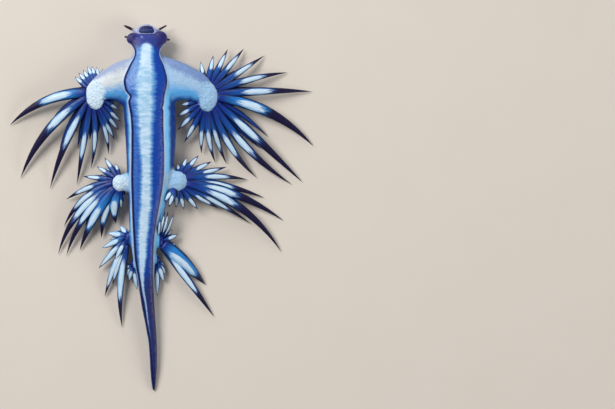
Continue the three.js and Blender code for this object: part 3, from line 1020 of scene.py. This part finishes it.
@dataclass(frozen=True)
class CerataFinish:
    """Colours of the cerata: ultramarine at the root with painted shadow along each one's edges, a pale
    lozenge, and a dark tip.
    """

    root: Colour = rgb(20, 48, 132)
    edge_shadow: Colour = rgb(10, 16, 66)
    glow: Colour = rgb(44, 128, 204)
    lozenge: Colour = rgb(208, 230, 246)
    lozenge_shade: Colour = rgb(126, 184, 232)
    tip: Colour = rgb(26, 22, 58)
    silver: Colour = rgb(84, 108, 164)
    wetness: Wetness = Wetness(0.33, 0.26)
    relief: float = 0.03

    def material(self) -> bpy.types.Material:
        """Build the cerata's material.

        Returns:
            The material, which reads the marks that CerataFan stores.
        """
        board = Board("wet_cerata")
        along = board.mark("along")
        aside = board.mark("aside")
        across = abs(aside)
        upward = board.mark("upward")
        start = board.mark("mark_start")
        end = board.mark("mark_end")
        streaks = self._streaks(board) - 0.5
        ragged = along + streaks * 0.22
        # Painted shadow: each ceras darkens towards its edges, standing in for the dark gaps between
        # cerata.
        shadowed_edges = (across + streaks * 0.9).step(0.35, 0.85)
        colour = board.blend(shadowed_edges, self.root, self.edge_shadow)
        near_mark = ragged.step(start - 0.35, start + 0.05)
        brightness = near_mark * (1.0 - (across + streaks * 0.5).step(0.55, 0.95)) * board.mark("glow")
        brightness = brightness * (along + streaks * 0.1).step(0.03, 0.22)
        colour = board.blend(brightness, colour, self.glow)
        inside = ragged.step(start - 0.04, start + 0.06) * (1.0 - ragged.step(end - 0.08, end))
        middle = (along - start) / (end - start) - 0.5
        narrowed = board.mark("mark_width") * (1.0 - middle * middle * 2.2)
        off_middle = abs(aside - board.mark("mark_aside")) + streaks * 0.2
        lozenge = inside * (1.0 - off_middle.step(narrowed - 0.12, narrowed + 0.06))
        pale = board.blend((across + streaks).step(0.25, 0.85), self.lozenge, self.lozenge_shade)
        past = ragged.step(end - 0.06, end + 0.04)
        colour = board.blend(past, colour, self.tip)
        colour = board.blend(lozenge * upward.step(-0.3, 0.05), colour, pale)
        under = (1.0 - upward.step(-0.7, -0.2)) * (1.0 - past)
        colour = board.blend(under * 0.7, colour, self.silver)
        rough = streaks * 0.25 + self.wetness.roughness
        return board.finish(colour, rough, streaks, self.relief, **self.wetness.constants())

    @staticmethod
    def _streaks(board: Board) -> Wire:
        """Draw streaks that run down each ceras.

        Args:
            board: The material's nodes.

        Returns:
            The streaks, 0 to 1 and mostly near 0.5.
        """
        place = {0: board.mark("down") * 1.3, 1: board.mark("over") * 9.0, 2: board.mark("number") * 7.0}
        vector = board.add("ShaderNodeCombineXYZ", {}, place)
        return board.add("ShaderNodeTexNoise", {}, {"Vector": vector, "Scale": 1.0, "Detail": 3.0})


@dataclass(frozen=True)
class Arm:
    """A stalk like an arm: its path, half its breadth at PLACES along it, and half its depth."""

    PLACES = (0.0, 0.35, 0.65, 0.85, 1.0)

    path: Path
    breadths: tuple[float, float, float, float, float]
    body_depth: float = 1.05
    pad_depth: float = 0.6

    def ring_at(self, share: float) -> Ring:
        """Give the section, broad at the body and narrower at the pad.

        Args:
            share: 0 at the root and 1 at the pad.

        Returns:
            The section.
        """
        drawn = rounded_ends(share, 0.04, 0.04)
        half_breadth = float(Profile(self.PLACES, self.breadths)(share))
        depth = self.body_depth + (self.pad_depth - self.body_depth) * share
        return self.path.ring(share, half_breadth * drawn, depth * drawn, squareness=2.2)


@dataclass(frozen=True)
class Stalk:
    """A short, broad stalk that joins a pad without an arm to the flank."""

    ROOT_AHEAD = 0.3
    ROOT_HEIGHT = 0.7
    RISE = 0.1
    BREADTH = 1.15
    DEPTH = 0.9

    path: Path
    half_breadth: float
    half_depth: float

    @classmethod
    def under(cls, fan: Fan, flank_x: float) -> "Stalk":
        """Lead a stalk from inside the flank to a fan's pad, in proportion to the pad.

        Args:
            fan: The fan that it carries.
            flank_x: The middle of the back beside the pad, across the body.

        Returns:
            The stalk.
        """
        hub = Vector(fan.hub)
        root = Vector((flank_x, fan.hub[1] + cls.ROOT_AHEAD, cls.ROOT_HEIGHT * fan.hub[2]))
        bend = (root + hub) / 2 + Vector((0, 0, cls.RISE))
        return cls(Path(root, bend, hub), cls.BREADTH * fan.pad[1], cls.DEPTH * fan.pad[2])

    def ring_at(self, share: float) -> Ring:
        """Give the section, which keeps its breadth between closed ends.

        Args:
            share: 0 in the flank and 1 at the pad.

        Returns:
            The section.
        """
        drawn = rounded_ends(share, 0.08, 0.15)
        return self.path.ring(share, self.half_breadth * drawn, self.half_depth * drawn)


@dataclass(frozen=True)
class Feeler:
    """A feeler: its centre line, and its radius at the root and near the tip."""

    path: Path
    root_radius: float
    tip_radius: float = 0.1

    def ring_at(self, share: float) -> Ring:
        """Give the section, which tapers to a round tip.

        Args:
            share: 0 at the root and 1 at the tip.

        Returns:
            The section.
        """
        drawn = rounded_ends(share, 0.05, 0.12)
        radius = (self.root_radius + (self.tip_radius - self.root_radius) * share) * drawn
        return self.path.ring(share, radius, radius)


@dataclass(frozen=True)
class Mouth:
    """The lips, a ring drawn out sideways, and the dark cap inside them with its slit."""

    place: Vector = Vector((-0.13, 13.02, 1.84))
    tilt: Matrix = Matrix.Rotation(math.radians(-20), 3, "X")
    dome: Ball = Ball((0.0, -0.02, 0.02), (0.8, 0.46, 0.3))
    lip_spread: float = 0.46
    lip_stretch: float = 1.78
    lip_radius: float = 0.11
    cap_behind: float = 0.03
    cap_half_length: float = 0.44
    cap_half_width: float = 0.8
    cap_narrowing: float = 0.13
    cap_squareness: float = 2.5
    slit_ahead: float = 0.06
    slit_half_length: float = 0.07
    slit_depth: float = 0.12

    def add_to(self, bm: bmesh.types.BMesh) -> None:
        """Make the lips, and the dome inside them.

        Args:
            bm: The mesh, still empty.
        """
        lip = bmesh.ops.create_circle(bm, segments=12, radius=self.lip_radius)["verts"]
        bmesh.ops.rotate(bm, verts=lip, cent=(0, 0, 0), matrix=Matrix.Rotation(math.pi / 2, 3, "X"))
        bmesh.ops.translate(bm, vec=(self.lip_spread, 0, 0), verts=lip)
        edges = list({edge for vert in lip for edge in vert.link_edges})
        bmesh.ops.spin(
            bm, geom=lip + edges, cent=(0, 0, 0), axis=(0, 0, 1), dvec=(0, 0, 0), angle=math.tau,
            steps=32, use_merge=True, use_normal_flip=False, use_duplicate=False,
        )
        bmesh.ops.scale(bm, vec=(self.lip_stretch, 1, 1), verts=bm.verts)
        add_ball(bm, self.dome)
        bmesh.ops.rotate(bm, verts=bm.verts, cent=(0, 0, 0), matrix=self.tilt)
        bmesh.ops.translate(bm, vec=self.place, verts=bm.verts)

    def inside_cap(self, x: np.ndarray, y: np.ndarray) -> np.ndarray:
        """Tell how far points are inside the dark cap's outline, seen from above.

        Args:
            x: The points' places across the body.
            y: Their distances ahead.

        Returns:
            The distances as shares of the cap's size, negative outside.
        """
        onward = (y - self.place.y + self.cap_behind) / self.cap_half_length
        aside = np.abs(x - self.place.x) / (self.cap_half_width - self.cap_narrowing * onward)
        power = self.cap_squareness
        return 1.0 - (aside**power + np.abs(onward) ** power) ** (1 / power)

    def slit(self, y: np.ndarray) -> np.ndarray:
        """Give the slit's depth at each distance ahead, in millimetres."""
        away = (y - self.place.y - self.slit_ahead) / self.slit_half_length
        return self.slit_depth * np.exp(-(away**2))


@dataclass(frozen=True)
class Skin:
    """The whole soft body in one closed skin: back, sole, head, feelers, arms and pads.

    Sizes are in millimetres. Each wave of the sole's margin has a height, a rate along the body and
    a row of the noise. ARM_MIDDLE and ARM_BREADTH are the arms' middle line and half breadth by the
    distance from the body's middle.
    """

    NODES = (
        "head", "oral_tentacle_left", "oral_tentacle_right", "rhinophore_left", "rhinophore_right",
        "neck", "torso_front", "torso_middle", "torso_rear", "arm_left", "arm_right",
        "sole_front", "sole_middle", "sole_rear", "tail_base", "tail_middle", "tail_tip",
    )
    ARM_MIDDLE = ((1.5, 2.8, 4.0, 5.5), (7.85, 7.75, 7.5, 6.9))
    ARM_BREADTH = ((1.5, 2.0, 2.8, 4.0, 5.5), (2.9, 2.6, 2.1, 1.65, 1.4))

    plan: BodyPlan
    mouth: Mouth = Mouth()
    snout: Ball = Ball((-0.15, 12.68, 1.12), (1.0, 0.9, 0.92))
    snout_clearance: float = 1.03
    # Where the painted glint lies on the head, and its half length and half width.
    painted_glint: tuple[float, float] = (-0.6, 12.3)
    painted_glint_half_long: float = 0.36
    painted_glint_half_wide: float = 0.16
    feelers: tuple[Feeler, ...] = (
        Feeler(
            Path(Vector((-0.5, 12.6, 1.15)), Vector((-1.5, 13.0, 1.15)), Vector((-2.5, 13.5, 1.3))),
            0.27,
        ),
        Feeler(
            Path(Vector((0.2, 12.6, 1.15)), Vector((1.1, 13.0, 1.15)), Vector((1.95, 13.5, 1.3))),
            0.25,
        ),
        Feeler(
            Path(Vector((-0.5, 12.2, 0.7)), Vector((-1.6, 12.15, 0.65)), Vector((-2.45, 12.35, 0.6))),
            0.25,
        ),
        Feeler(
            Path(Vector((0.2, 12.2, 0.7)), Vector((1.4, 12.1, 0.65)), Vector((2.3, 12.0, 0.6))),
            0.25,
        ),
    )
    arms: tuple[Arm, ...] = (
        Arm(
            Path(Vector((-1.0, 7.5, 1.6)), Vector((-3.4, 8.1, 2.15)), Vector((-5.2, 6.8, 2.05))),
            (2.9, 2.25, 1.6, 1.3, 1.0),
        ),
        Arm(
            Path(Vector((0.8, 7.7, 1.6)), Vector((3.9, 8.3, 2.15)), Vector((5.9, 6.5, 2.05))),
            (3.0, 2.1, 1.62, 1.4, 1.05),
        ),
    )
    voxel: float = 0.08
    back_front: float = 12.2
    back_middle: float = 0.45
    back_below_top: float = 0.35
    back_under_floor: float = 0.12
    sole_thickness: float = 0.3
    sole_thickness_share: float = 0.25
    sole_dome: float = 0.2
    sole_depth: float = 0.62
    waves: tuple[tuple[float, float, float], ...] = ((0.03, 0.9, 0.0), (0.015, 3.1, 5.0))
    grain_rate: float = 4.5
    grain_height: float = 0.06
    grain_fade: float = 0.15

    def _back_ring(self, share: float) -> Ring:
        """Give the back's section, drawn in to a point at the tail and inside the head.

        Args:
            share: 0 at the tail's tip and 1 inside the head.

        Returns:
            The section.
        """
        ahead = self.plan.TAIL_END + share * (self.back_front - self.plan.TAIL_END)
        drawn = rounded_ends(share, 0.012, 0.03)
        top = float(self.plan.top(ahead))
        middle = self.back_middle * top
        return Ring(
            Vector((float(self.plan.back_x(ahead)), ahead, middle)),
            Vector((float(self.plan.back_half(ahead)) * drawn, 0, 0)),
            Vector((0, 0, (top - self.back_below_top - middle) * drawn)),
            Vector((0, 0, (middle + self.back_under_floor) * drawn)),
            squareness=2.3,
        )

    def _sole_ring(self, share: float) -> Ring:
        """Give the sole's section, with a slightly waved margin and a rounded front edge.

        Args:
            share: 0 at the tail's tip and 1 at the front edge.

        Returns:
            The section.
        """
        ahead = self.plan.TAIL_END + share * (self.plan.SOLE_FRONT - self.plan.TAIL_END)
        drawn = rounded_ends(share, 0.01, 0.008)
        wave = sum(height * noise.noise((ahead * rate, row, 0)) for height, rate, row in self.waves)
        left = float(self.plan.margin(ahead, -1)) - wave
        right = float(self.plan.margin(ahead, 1)) + wave
        half = (right - left) / 2
        top = float(self.plan.top(ahead))
        thick = min(self.sole_thickness, self.sole_thickness_share * top)
        centre = Vector(((left + right) / 2, ahead, top - thick))
        deep = Vector((0, 0, thick * drawn))
        blunted = 0.9 + 0.1 * drawn if drawn > 0 else 0.001
        across = Vector((half * blunted, 0, 0))
        return Ring(centre, across, deep, deep, squareness=2.8, dome=self.sole_dome * half)

    def build(self) -> bpy.types.Object:
        """Fuse every length of the body into one skin, and mark it for its finish.

        Returns:
            The skin.
        """
        bm = bmesh.new()
        self.mouth.add_to(bm)
        add_tube(bm, 48, 260, self._back_ring)
        add_tube(bm, 32, 320, self._sole_ring)
        for arm in self.arms:
            add_tube(bm, 32, 40, arm.ring_at)
        for feeler in self.feelers:
            add_tube(bm, 16, 24, feeler.ring_at)
        for ball in (self.snout, *self.plan.LOBES):
            add_ball(bm, ball)
        for fan in FANS:
            add_ball(bm, Ball(fan.hub, fan.pad))
            if not fan.armed:
                flank_x = float(self.plan.back_x(fan.hub[1]))
                add_tube(bm, 24, 24, Stalk.under(fan, flank_x).ring_at)
        close_up(bm)
        obj = to_object(bm, "skin")
        self._fuse(obj)
        self._ease_joins(obj)
        self._carve(obj.data)
        self._mark(obj.data)
        obj.data.transform(Matrix.Scale(MM, 4))
        shade_smooth(obj.data)
        return obj

    def _fuse(self, obj: bpy.types.Object) -> None:
        """Fuse the overlapping shapes into one skin, and soften the steps of its cells.

        Args:
            obj: The skin.
        """
        fuse = obj.modifiers.new("fuse", "REMESH")
        fuse.mode = "VOXEL"
        fuse.voxel_size = self.voxel
        soften = obj.modifiers.new("soften", "SMOOTH")
        soften.factor = 0.5
        soften.iterations = 2
        settle(obj)

    def _ease_joins(self, obj: bpy.types.Object) -> None:
        """Smooth the skin where arms and stalks leave the flank.

        Args:
            obj: The skin.
        """
        points = read_points(obj.data)
        x, y, _ = points.T
        beside = np.abs(x - self.plan.back_x(y)) - self.plan.back_half(y)
        near = (1 - smoothstep(np.abs(beside), 0.3, 1.0)) * smoothstep(self._under_sole(points), 0.0, 0.3)
        group = obj.vertex_groups.new(name="joins")
        levels = np.linspace(0.25, 1.0, 4)
        for level in levels:
            chosen = np.flatnonzero(np.abs(near - level) <= levels[0] / 2).tolist()
            group.add(chosen, float(level), "REPLACE")
        ease = obj.modifiers.new("ease joins", "SMOOTH")
        ease.factor = 0.5
        ease.iterations = 30
        ease.vertex_group = group.name
        settle(obj)

    def _under_sole(self, points: np.ndarray) -> np.ndarray:
        """Tell how far each point is under the sole's margin, or outside it, in millimetres.

        Args:
            points: Rows of x, y and z.

        Returns:
            The distances, negative on the sole.
        """
        x, y, z = points.T
        half = self.plan.sole_half(y)
        aside = np.abs(x - self.plan.sole_x(y))
        dome = self.sole_dome * half * np.clip(aside / half, 0, 1) ** 2
        return np.maximum(-self.plan.inside_sole(x, y), self.plan.top(y) - dome - self.sole_depth - z)

    def _carve(self, mesh: bpy.types.Mesh) -> None:
        """Raise grains on the pads, and press the mouth's slit into the cap.

        Args:
            mesh: The skin's mesh.
        """
        points = read_points(mesh)
        pads = self._pad_depth(points)
        normals = np.empty(len(points) * 3, np.float32)
        mesh.vertices.foreach_get("normal", normals)
        normals = normals.reshape(-1, 3)
        for index in np.flatnonzero(pads > 0.02):
            place = Vector(points[index])
            lump = noise.noise(place * self.grain_rate) + 0.5 * noise.noise(place * (2 * self.grain_rate))
            height = self.grain_height * lump * min(1.0, pads[index] / self.grain_fade)
            points[index] += normals[index] * height
        on_cap = smoothstep(self._cap_depth(points), 0.1, 0.5)
        points[:, 2] -= on_cap * self.mouth.slit(points[:, 1])
        mesh.vertices.foreach_set("co", points.astype(np.float32).ravel())

    def _cap_depth(self, points: np.ndarray) -> np.ndarray:
        """Tell how far each point of the snout's upper side is inside the mouth's dark cap.

        Args:
            points: Rows of x, y and z.

        Returns:
            The distances as shares of the cap's size, negative outside.
        """
        x, y, z = points.T
        on_snout = (z > 1.3) & (self.plan.inside_sole(x, y) < 0)
        return np.where(on_snout, self.mouth.inside_cap(x, y), -1.0)

    @staticmethod
    def _pad_depth(points: np.ndarray) -> np.ndarray:
        """Tell how far each point is inside the nearest pale pad's outline, in millimetres.

        Args:
            points: Rows of x, y and z.

        Returns:
            The distances, negative outside.
        """
        depth = np.full(len(points), -1.0)
        for fan in FANS:
            away = (points - fan.hub) / fan.pad
            spread = np.hypot(away[:, 0], away[:, 1])
            inwards = -away[:, 0] * math.copysign(1, fan.hub[0])
            inner = smoothstep(inwards, 0.1, 1.0) * fan.armed
            inside = (1.0 - spread - 0.1 * inner) * min(fan.pad[:2]) * (1 - 0.6 * inner)
            depth = np.maximum(depth, np.where((away[:, 2] > -0.35) & fan.pale, inside, -1.0))
        return depth

    @staticmethod
    def _rooted_share(points: np.ndarray) -> np.ndarray:
        """Tell how far each point is among the cerata's roots, where their fan has no pale pad.

        Args:
            points: Rows of x, y and z.

        Returns:
            0 on the flank, rising to 1 at the outer side of such a hub.
        """
        share = np.zeros(len(points))
        for fan in FANS:
            away = (points - fan.hub) / fan.pad
            outwards = away[:, 0] * math.copysign(1, fan.hub[0])
            beside = 1 - smoothstep(np.abs(away[:, 1]), 0.9, 1.5)
            share = np.maximum(share, smoothstep(outwards, -0.5, 0.3) * beside * (not fan.pale))
        return share

    def _mark(self, mesh: bpy.types.Mesh) -> None:
        """Store what the finish reads: the sole's edge, the stripe, arms, pads, snout and feelers.

        Args:
            mesh: The skin's mesh.
        """
        points = read_points(mesh)
        x, y, z = points.T
        stripe = self.plan.stripe_half(y)
        away = np.abs(x - self.plan.stripe_x(y))
        spread = np.abs(x - self.plan.back_x(y))
        beside = spread - self.plan.back_half(y)
        behind_middle = np.interp(spread, *self.ARM_MIDDLE) - y
        snout = smoothstep(y, 12.2, 12.6) * (1 - smoothstep(np.abs(x - self.snout.centre[0]), 1.2, 1.5))
        marks = {
            "sole": -self._under_sole(points),
            "sole_side": (x - self.plan.sole_x(y)) / self.plan.sole_half(y),
            "stripe": (stripe - away) / np.maximum(np.abs(stripe), 0.12),
            "arm": smoothstep(beside, -0.9, 0.1) * smoothstep(y, 4.4, 5.6),
            "arm_across": behind_middle / np.interp(spread, *self.ARM_BREADTH),
            "height": z / self.plan.top(y),
            "fore": smoothstep(y, 10.5, 12.1),
            "snout": snout,
            "cap": self._cap_depth(points),
            # Where the painted glint lies.
            "painted_glint": self._painted_glint_depth(x, y),
            "pad": self._pad_depth(points),
            "rooted": self._rooted_share(points),
            "feeler": self._feeler_share(points),
        }
        for name, values in marks.items():
            add_mark(mesh, name, values)

    def _painted_glint_depth(self, x: np.ndarray, y: np.ndarray) -> np.ndarray:
        """Tell how far points are inside the painted glint, a pale ellipse that lies aslant on the head.

        Args:
            x: The points' places across the body.
            y: Their distances ahead.

        Returns:
            The distances as shares of the fleck's size, negative outside.
        """
        aside, onward = x - self.painted_glint[0], y - self.painted_glint[1]
        long_share = (aside - onward) / self.painted_glint_half_long
        return 1.0 - np.hypot(long_share, (aside + onward) / self.painted_glint_half_wide)

    def _feeler_share(self, points: np.ndarray) -> np.ndarray:
        """Tell how far out along a feeler each point is, from 0 on the head to 1 at a tip.

        Args:
            points: Rows of x, y and z.

        Returns:
            The shares.
        """
        share = np.zeros(len(points))
        from_snout = np.linalg.norm((points - self.snout.centre) / np.array(self.snout.size), axis=1)
        free = (from_snout > self.snout_clearance) & (self._under_sole(points) > 0.02)
        for feeler in self.feelers:
            root = np.array(feeler.path.root)
            line = np.array(feeler.path.tip - feeler.path.root)
            along = (points - root) @ line / (line @ line)
            nearest = root + np.clip(along, 0, 1)[:, None] * line
            away = np.linalg.norm(points - nearest, axis=1)
            share = np.maximum(share, np.where((away < feeler.root_radius * 1.35) & free, along, 0.0))
        return share


@dataclass(frozen=True)
class RootedCeras:
    """A ceras with its root's bearing on the rim, its root's height, and whether it lies below."""

    ceras: Ceras
    rim_bearing: float
    layer: float
    below: bool


@dataclass(frozen=True)
class LozengeRule:
    """Where the pale lozenge lies on a ceras, by shares of the reach that fall as the reach grows.

    A ceras below the others has a shorter, narrower lozenge, or none when it is long, and glows less:
    this darkening is painted shade under the upper cerata.
    """

    start: float = 0.81
    start_fall: float = 0.043
    end: float = 1.12
    end_fall: float = 0.045
    last_end: float = 0.97
    end_shift: float = 0.6
    jitter: float = 0.03
    jitter_rate: float = 37.0
    first_start: float = 0.2
    first_start_below: float = 0.45
    breadth_below: float = 0.5
    no_breadth: float = -0.3
    unmarked_reach: float = 3.0
    least_glow: float = 0.3
    glow_below: float = 0.1


@dataclass(frozen=True)
class CerataFan:
    """The cerata of one fan: flattened spindles, rooted round the rim of the pad.

    Sizes are in millimetres. Between each two upper cerata lies a finer one, under_reach times as
    long as the shorter of them, or near_reach times as long where that one is short.
    """

    MARKS = (
        "along", "aside", "upward", "down", "over", "number",
        "mark_start", "mark_end", "mark_width", "mark_aside", "glow",
    )

    fan: Fan
    rule: LozengeRule = LozengeRule()
    sides: int = 18
    least_rings: int = 20
    rings_per_reach: int = 2
    least_width: float = 0.5
    width_per_reach: float = 0.05
    flatness: float = 0.6
    tip_width: float = 0.035
    tip_depth: float = 0.24
    short_bluntness: float = 3.2
    bluntness_fall: float = 1.2
    root_at: float = 0.7
    root_depth: float = 0.1
    layer_step: float = 0.08
    low_tip: float = 0.14
    short_tip_share: float = 0.6
    drooping: tuple[float, float] = (2.5, 7.0)
    arch: float = 0.3
    under_reach: float = 0.62
    near_reach: float = 0.9
    near_limit: float = 2.4
    under_broadness: float = 0.8
    under_shift: float = 0.05
    under_layer: float = -0.2
    under_drop: float = 0.3

    def _rooted(self) -> list[RootedCeras]:
        """List the cerata with their roots: the upper ones, then finer ones below, between them.

        Returns:
            The cerata, upper ones first.
        """
        upper = [
            RootedCeras(ceras, self.fan.rim_bearing(index), self.layer_step * (index % 3 - 1), False)
            for index, ceras in enumerate(self.fan.cerata)
        ]
        lower = []
        for one, other in zip(upper, upper[1:]):
            shorter = min(one.ceras.reach, other.ceras.reach)
            reach = max(self.under_reach * shorter, self.near_reach * min(shorter, self.near_limit))
            bearing = (one.ceras.bearing + other.ceras.bearing) / 2
            bow = (one.ceras.bow + other.ceras.bow) / 4
            between = Ceras(bearing, reach, bow, self.under_broadness, self.under_shift)
            rim_bearing = (one.rim_bearing + other.rim_bearing) / 2
            lower.append(RootedCeras(between, rim_bearing, self.under_layer, True))
        return upper + lower

    def _path(self, rooted: RootedCeras) -> Path:
        """Give the centre line of one ceras, from inside the pad's rim to its tip.

        Args:
            rooted: The ceras.

        Returns:
            The path, which droops to the floor where the ceras is long.
        """
        ceras = rooted.ceras
        hub = Vector(self.fan.hub)
        rim = math.radians(rooted.rim_bearing)
        bearing = math.radians(ceras.bearing)
        aside = self.root_at * self.fan.pad[0] * math.cos(rim)
        ahead = self.root_at * self.fan.pad[1] * math.sin(rim)
        root = hub + Vector((aside, ahead, rooted.layer - self.root_depth))
        tip = hub + Vector((math.cos(bearing), math.sin(bearing), 0)) * ceras.reach
        lowered = float(smoothstep(np.float64(ceras.reach), *self.drooping))
        tip.z = self.short_tip_share * hub.z * (1 - lowered) + self.low_tip * lowered
        if rooted.below:
            tip.z = max(self.low_tip, tip.z - self.under_drop)
        forwards = Vector((root.y - tip.y, tip.x - root.x, 0)).normalized()
        bend = (root + tip) / 2 + forwards * math.copysign(2 * ceras.bow, ceras.bow * hub.x)
        bend.z += self.arch * min(1.0, ceras.reach / self.drooping[1]) + ceras.lift
        tip.z += ceras.lift
        return Path(root, bend, tip)

    def _half_width(self, ceras: Ceras) -> float:
        """Give half the greatest width of one ceras, in millimetres."""
        return ceras.broadness * (self.least_width + self.width_per_reach * ceras.reach) / 2

    def _ring_at(self, rooted: RootedCeras) -> Callable[[float], Ring]:
        """Give the sections of one ceras.

        Args:
            rooted: The ceras.

        Returns:
            A function from the share of the length to the section there.
        """
        path = self._path(rooted)
        half = self._half_width(rooted.ceras)
        root_width = rooted.ceras.root_width
        lengthened = float(smoothstep(np.float64(rooted.ceras.reach), 2.5, 8.0))
        bluntness = self.short_bluntness - self.bluntness_fall * lengthened

        def ring_at(share: float) -> Ring:
            """Swell from the root, then thin to a fine point.

            Args:
                share: 0 at the root and 1 at the tip.

            Returns:
                The section.
            """
            left = 1 - share
            swell = root_width + (1 - root_width) * math.sin(min(1.0, share / 0.5) * math.pi / 2)
            body = half * swell * max(0.0, 1 - share**bluntness)
            width = max(body, self.tip_width * left**0.3)
            depth = max(self.flatness * body, self.tip_depth * (1 - share**2) ** 0.8 * left**0.35)
            closed = min(1.0, share / 0.03) ** 0.5
            return path.ring(share, width * closed, min(depth, width) * closed)

        return ring_at

    def _marks_of(self, rooted: RootedCeras, number: int) -> tuple[float, ...]:
        """Tell where the pale lozenge lies on one ceras, and how brightly the ceras glows.

        Args:
            rooted: The ceras.
            number: Its number in the fan.

        Returns:
            The lozenge's start and end as shares of the length, its half width and its place aside as
            shares of the ceras's half width, and the glow, 0 to 1.
        """
        ceras, rule = rooted.ceras, self.rule
        jitter = rule.jitter * math.sin(rule.jitter_rate * number + ceras.reach)
        shift = ceras.mark_shift + self.fan.mark_shift
        end_shift = ceras.mark_shift * rule.end_shift + self.fan.tip_shift
        start = rule.start - rule.start_fall * ceras.reach + shift + jitter
        end = min(rule.last_end, rule.end - rule.end_fall * ceras.reach + end_shift) + jitter / 2
        inset = (Vector(self.fan.hub) - self._path(rooted).root).xy.length
        start, end = ((share * ceras.reach - inset) / (ceras.reach - inset) for share in (start, end))
        # Painted shade: cerata below the others glow less, and long ones lose their lozenge.
        if rooted.below:
            breadth = rule.breadth_below if ceras.reach < rule.unmarked_reach else rule.no_breadth
            return max(rule.first_start_below, start), end, breadth, ceras.mark_aside, rule.glow_below
        broadened = float(smoothstep(np.float64(ceras.broadness), 1.05, 1.25))
        glow = rule.least_glow + (1 - rule.least_glow) * broadened
        return max(rule.first_start, start), end, self.fan.mark_breadth, ceras.mark_aside, glow

    def build(self) -> bpy.types.Object:
        """Make every ceras of the fan in one mesh.

        Returns:
            The fan.
        """
        bm = bmesh.new()
        layers = [bm.verts.layers.float.new(name) for name in self.MARKS]
        unwrapped = bm.loops.layers.uv.new("OFBake")
        cerata = self._rooted()
        for number, rooted in enumerate(cerata):
            reach = rooted.ceras.reach
            rings = round(self.least_rings + self.rings_per_reach * reach)
            marks = self._marks_of(rooted, number)
            width = self._half_width(rooted.ceras)
            places = {}
            for vert, share, turn in add_tube(bm, self.sides, rings, self._ring_at(rooted)):
                aside = math.cos(turn)
                values = (share, aside, math.sin(turn), share * reach, aside * width, number, *marks)
                for layer, value in zip(layers, values):
                    vert[layer] = value
                strip = number + 0.05 + 0.9 * turn / math.tau
                places[vert] = (strip / len(cerata), 0.02 + 0.96 * share)
            for face in {face for vert in places for face in vert.link_faces}:
                for loop in face.loops:
                    loop[unwrapped].uv = places[loop.vert]
        close_up(bm, 2e-5)
        obj = to_object(bm, self.fan.node.replace("cerata", "fine_cerata"), MM)
        shade_smooth(obj.data)
        return obj


@dataclass(frozen=True)
class Lamp:
    """A soft, round lamp: its place, its width and its power."""

    place: tuple[float, float, float]
    width: float
    power: float


class LampRole(Enum):
    """What a lamp does in the studio."""

    KEY = Lamp((-150.0, 110.0, 210.0), 150.0, 0.68)
    FILL = Lamp((240.0, -70.0, 120.0), 160.0, 0.26)
    FRONT = Lamp((20.0, 240.0, 110.0), 160.0, 0.18)


@dataclass(frozen=True)
class Studio:
    """A plain pale floor, soft lamps and a camera straight over the animal."""

    frame_width: float = 61.5
    frame_middle: tuple[float, float] = (15.95, -4.45)
    distance: float = 1500.0
    sensor_width: float = 36.0
    nearest: float = 10.0
    furthest: float = 10000.0
    floor_size: float = 900.0
    floor_drop: float = 0.01
    floor_colour: Colour = rgb(222, 212, 200)
    floor_shade: Colour = rgb(190, 176, 160)
    floor_grain: float = 6.0
    floor_contrast: float = 0.12
    floor_roughness: float = 0.8
    sky: Colour = rgb(226, 232, 240)
    sky_strength: float = 0.2

    def add_floor(self) -> None:
        """Lay the floor just under the animal."""
        bm = bmesh.new()
        bmesh.ops.create_grid(bm, x_segments=1, y_segments=1, size=self.floor_size / 2)
        bmesh.ops.translate(bm, vec=(0, 0, -self.floor_drop), verts=bm.verts)
        floor = to_object(bm, "floor", MM)
        board = Board("pale_floor")
        tone = board.cloud(self.floor_grain, 4) * self.floor_contrast
        colour = board.blend(tone, self.floor_colour, self.floor_shade)
        floor.data.materials.append(board.finish(colour, self.floor_roughness, None, 0.0))

    def add_lamps(self) -> None:
        """Hang the soft lamps, each turned towards the animal, and light the sky."""
        for role in LampRole:
            light = bpy.data.lights.new(role.name.lower(), "AREA")
            light.shape = "DISK"
            light.size = role.value.width * MM
            light.energy = role.value.power
            obj = bpy.data.objects.new(light.name, light)
            obj.location = Vector(role.value.place) * MM
            obj.rotation_euler = (-obj.location).to_track_quat("-Z", "Y").to_euler()
            bpy.context.scene.collection.objects.link(obj)
        world = bpy.data.worlds.new("sky")
        world.use_nodes = True
        background = world.node_tree.nodes["Background"]
        background.inputs["Color"].default_value = self.sky
        background.inputs["Strength"].default_value = self.sky_strength
        bpy.context.scene.world = world

    def add_camera(self) -> None:
        """Hang the camera over the middle of the photograph's frame, looking straight down."""
        lens = bpy.data.cameras.new("camera")
        lens.sensor_width = self.sensor_width
        lens.lens = self.sensor_width * self.distance / self.frame_width
        lens.clip_start, lens.clip_end = self.nearest * MM, self.furthest * MM
        camera = bpy.data.objects.new("camera", lens)
        camera.location = Vector((*self.frame_middle, self.distance)) * MM
        bpy.context.scene.collection.objects.link(camera)
        bpy.context.scene.camera = camera
        bpy.context.scene.view_settings.view_transform = "Standard"


def dress(obj: bpy.types.Object, material: bpy.types.Material, nodes: Iterable[str]) -> None:
    """Give a piece its finish, its body and the solids that it stands for.

    Args:
        obj: The piece.
        material: Its finish.
        nodes: The names of the solids that it replaces.
    """
    obj.data.materials.clear()
    obj.data.materials.append(material)
    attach(obj, "root")
    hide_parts(*nodes)
    LOG.info("%s: %d faces", obj.name, len(obj.data.polygons))


def main() -> None:
    """Build the animal and its studio."""
    logging.basicConfig(level=logging.INFO, format="%(message)s")
    skin = Skin(BodyPlan()).build()
    dress(skin, SkinFinish().material(), Skin.NODES)
    cerata_material = CerataFinish().material()
    for fan in FANS:
        dress(CerataFan(fan).build(), cerata_material, [fan.node])
    studio = Studio()
    studio.add_floor()
    studio.add_lamps()
    studio.add_camera()


if __name__ == "__main__":
    main()
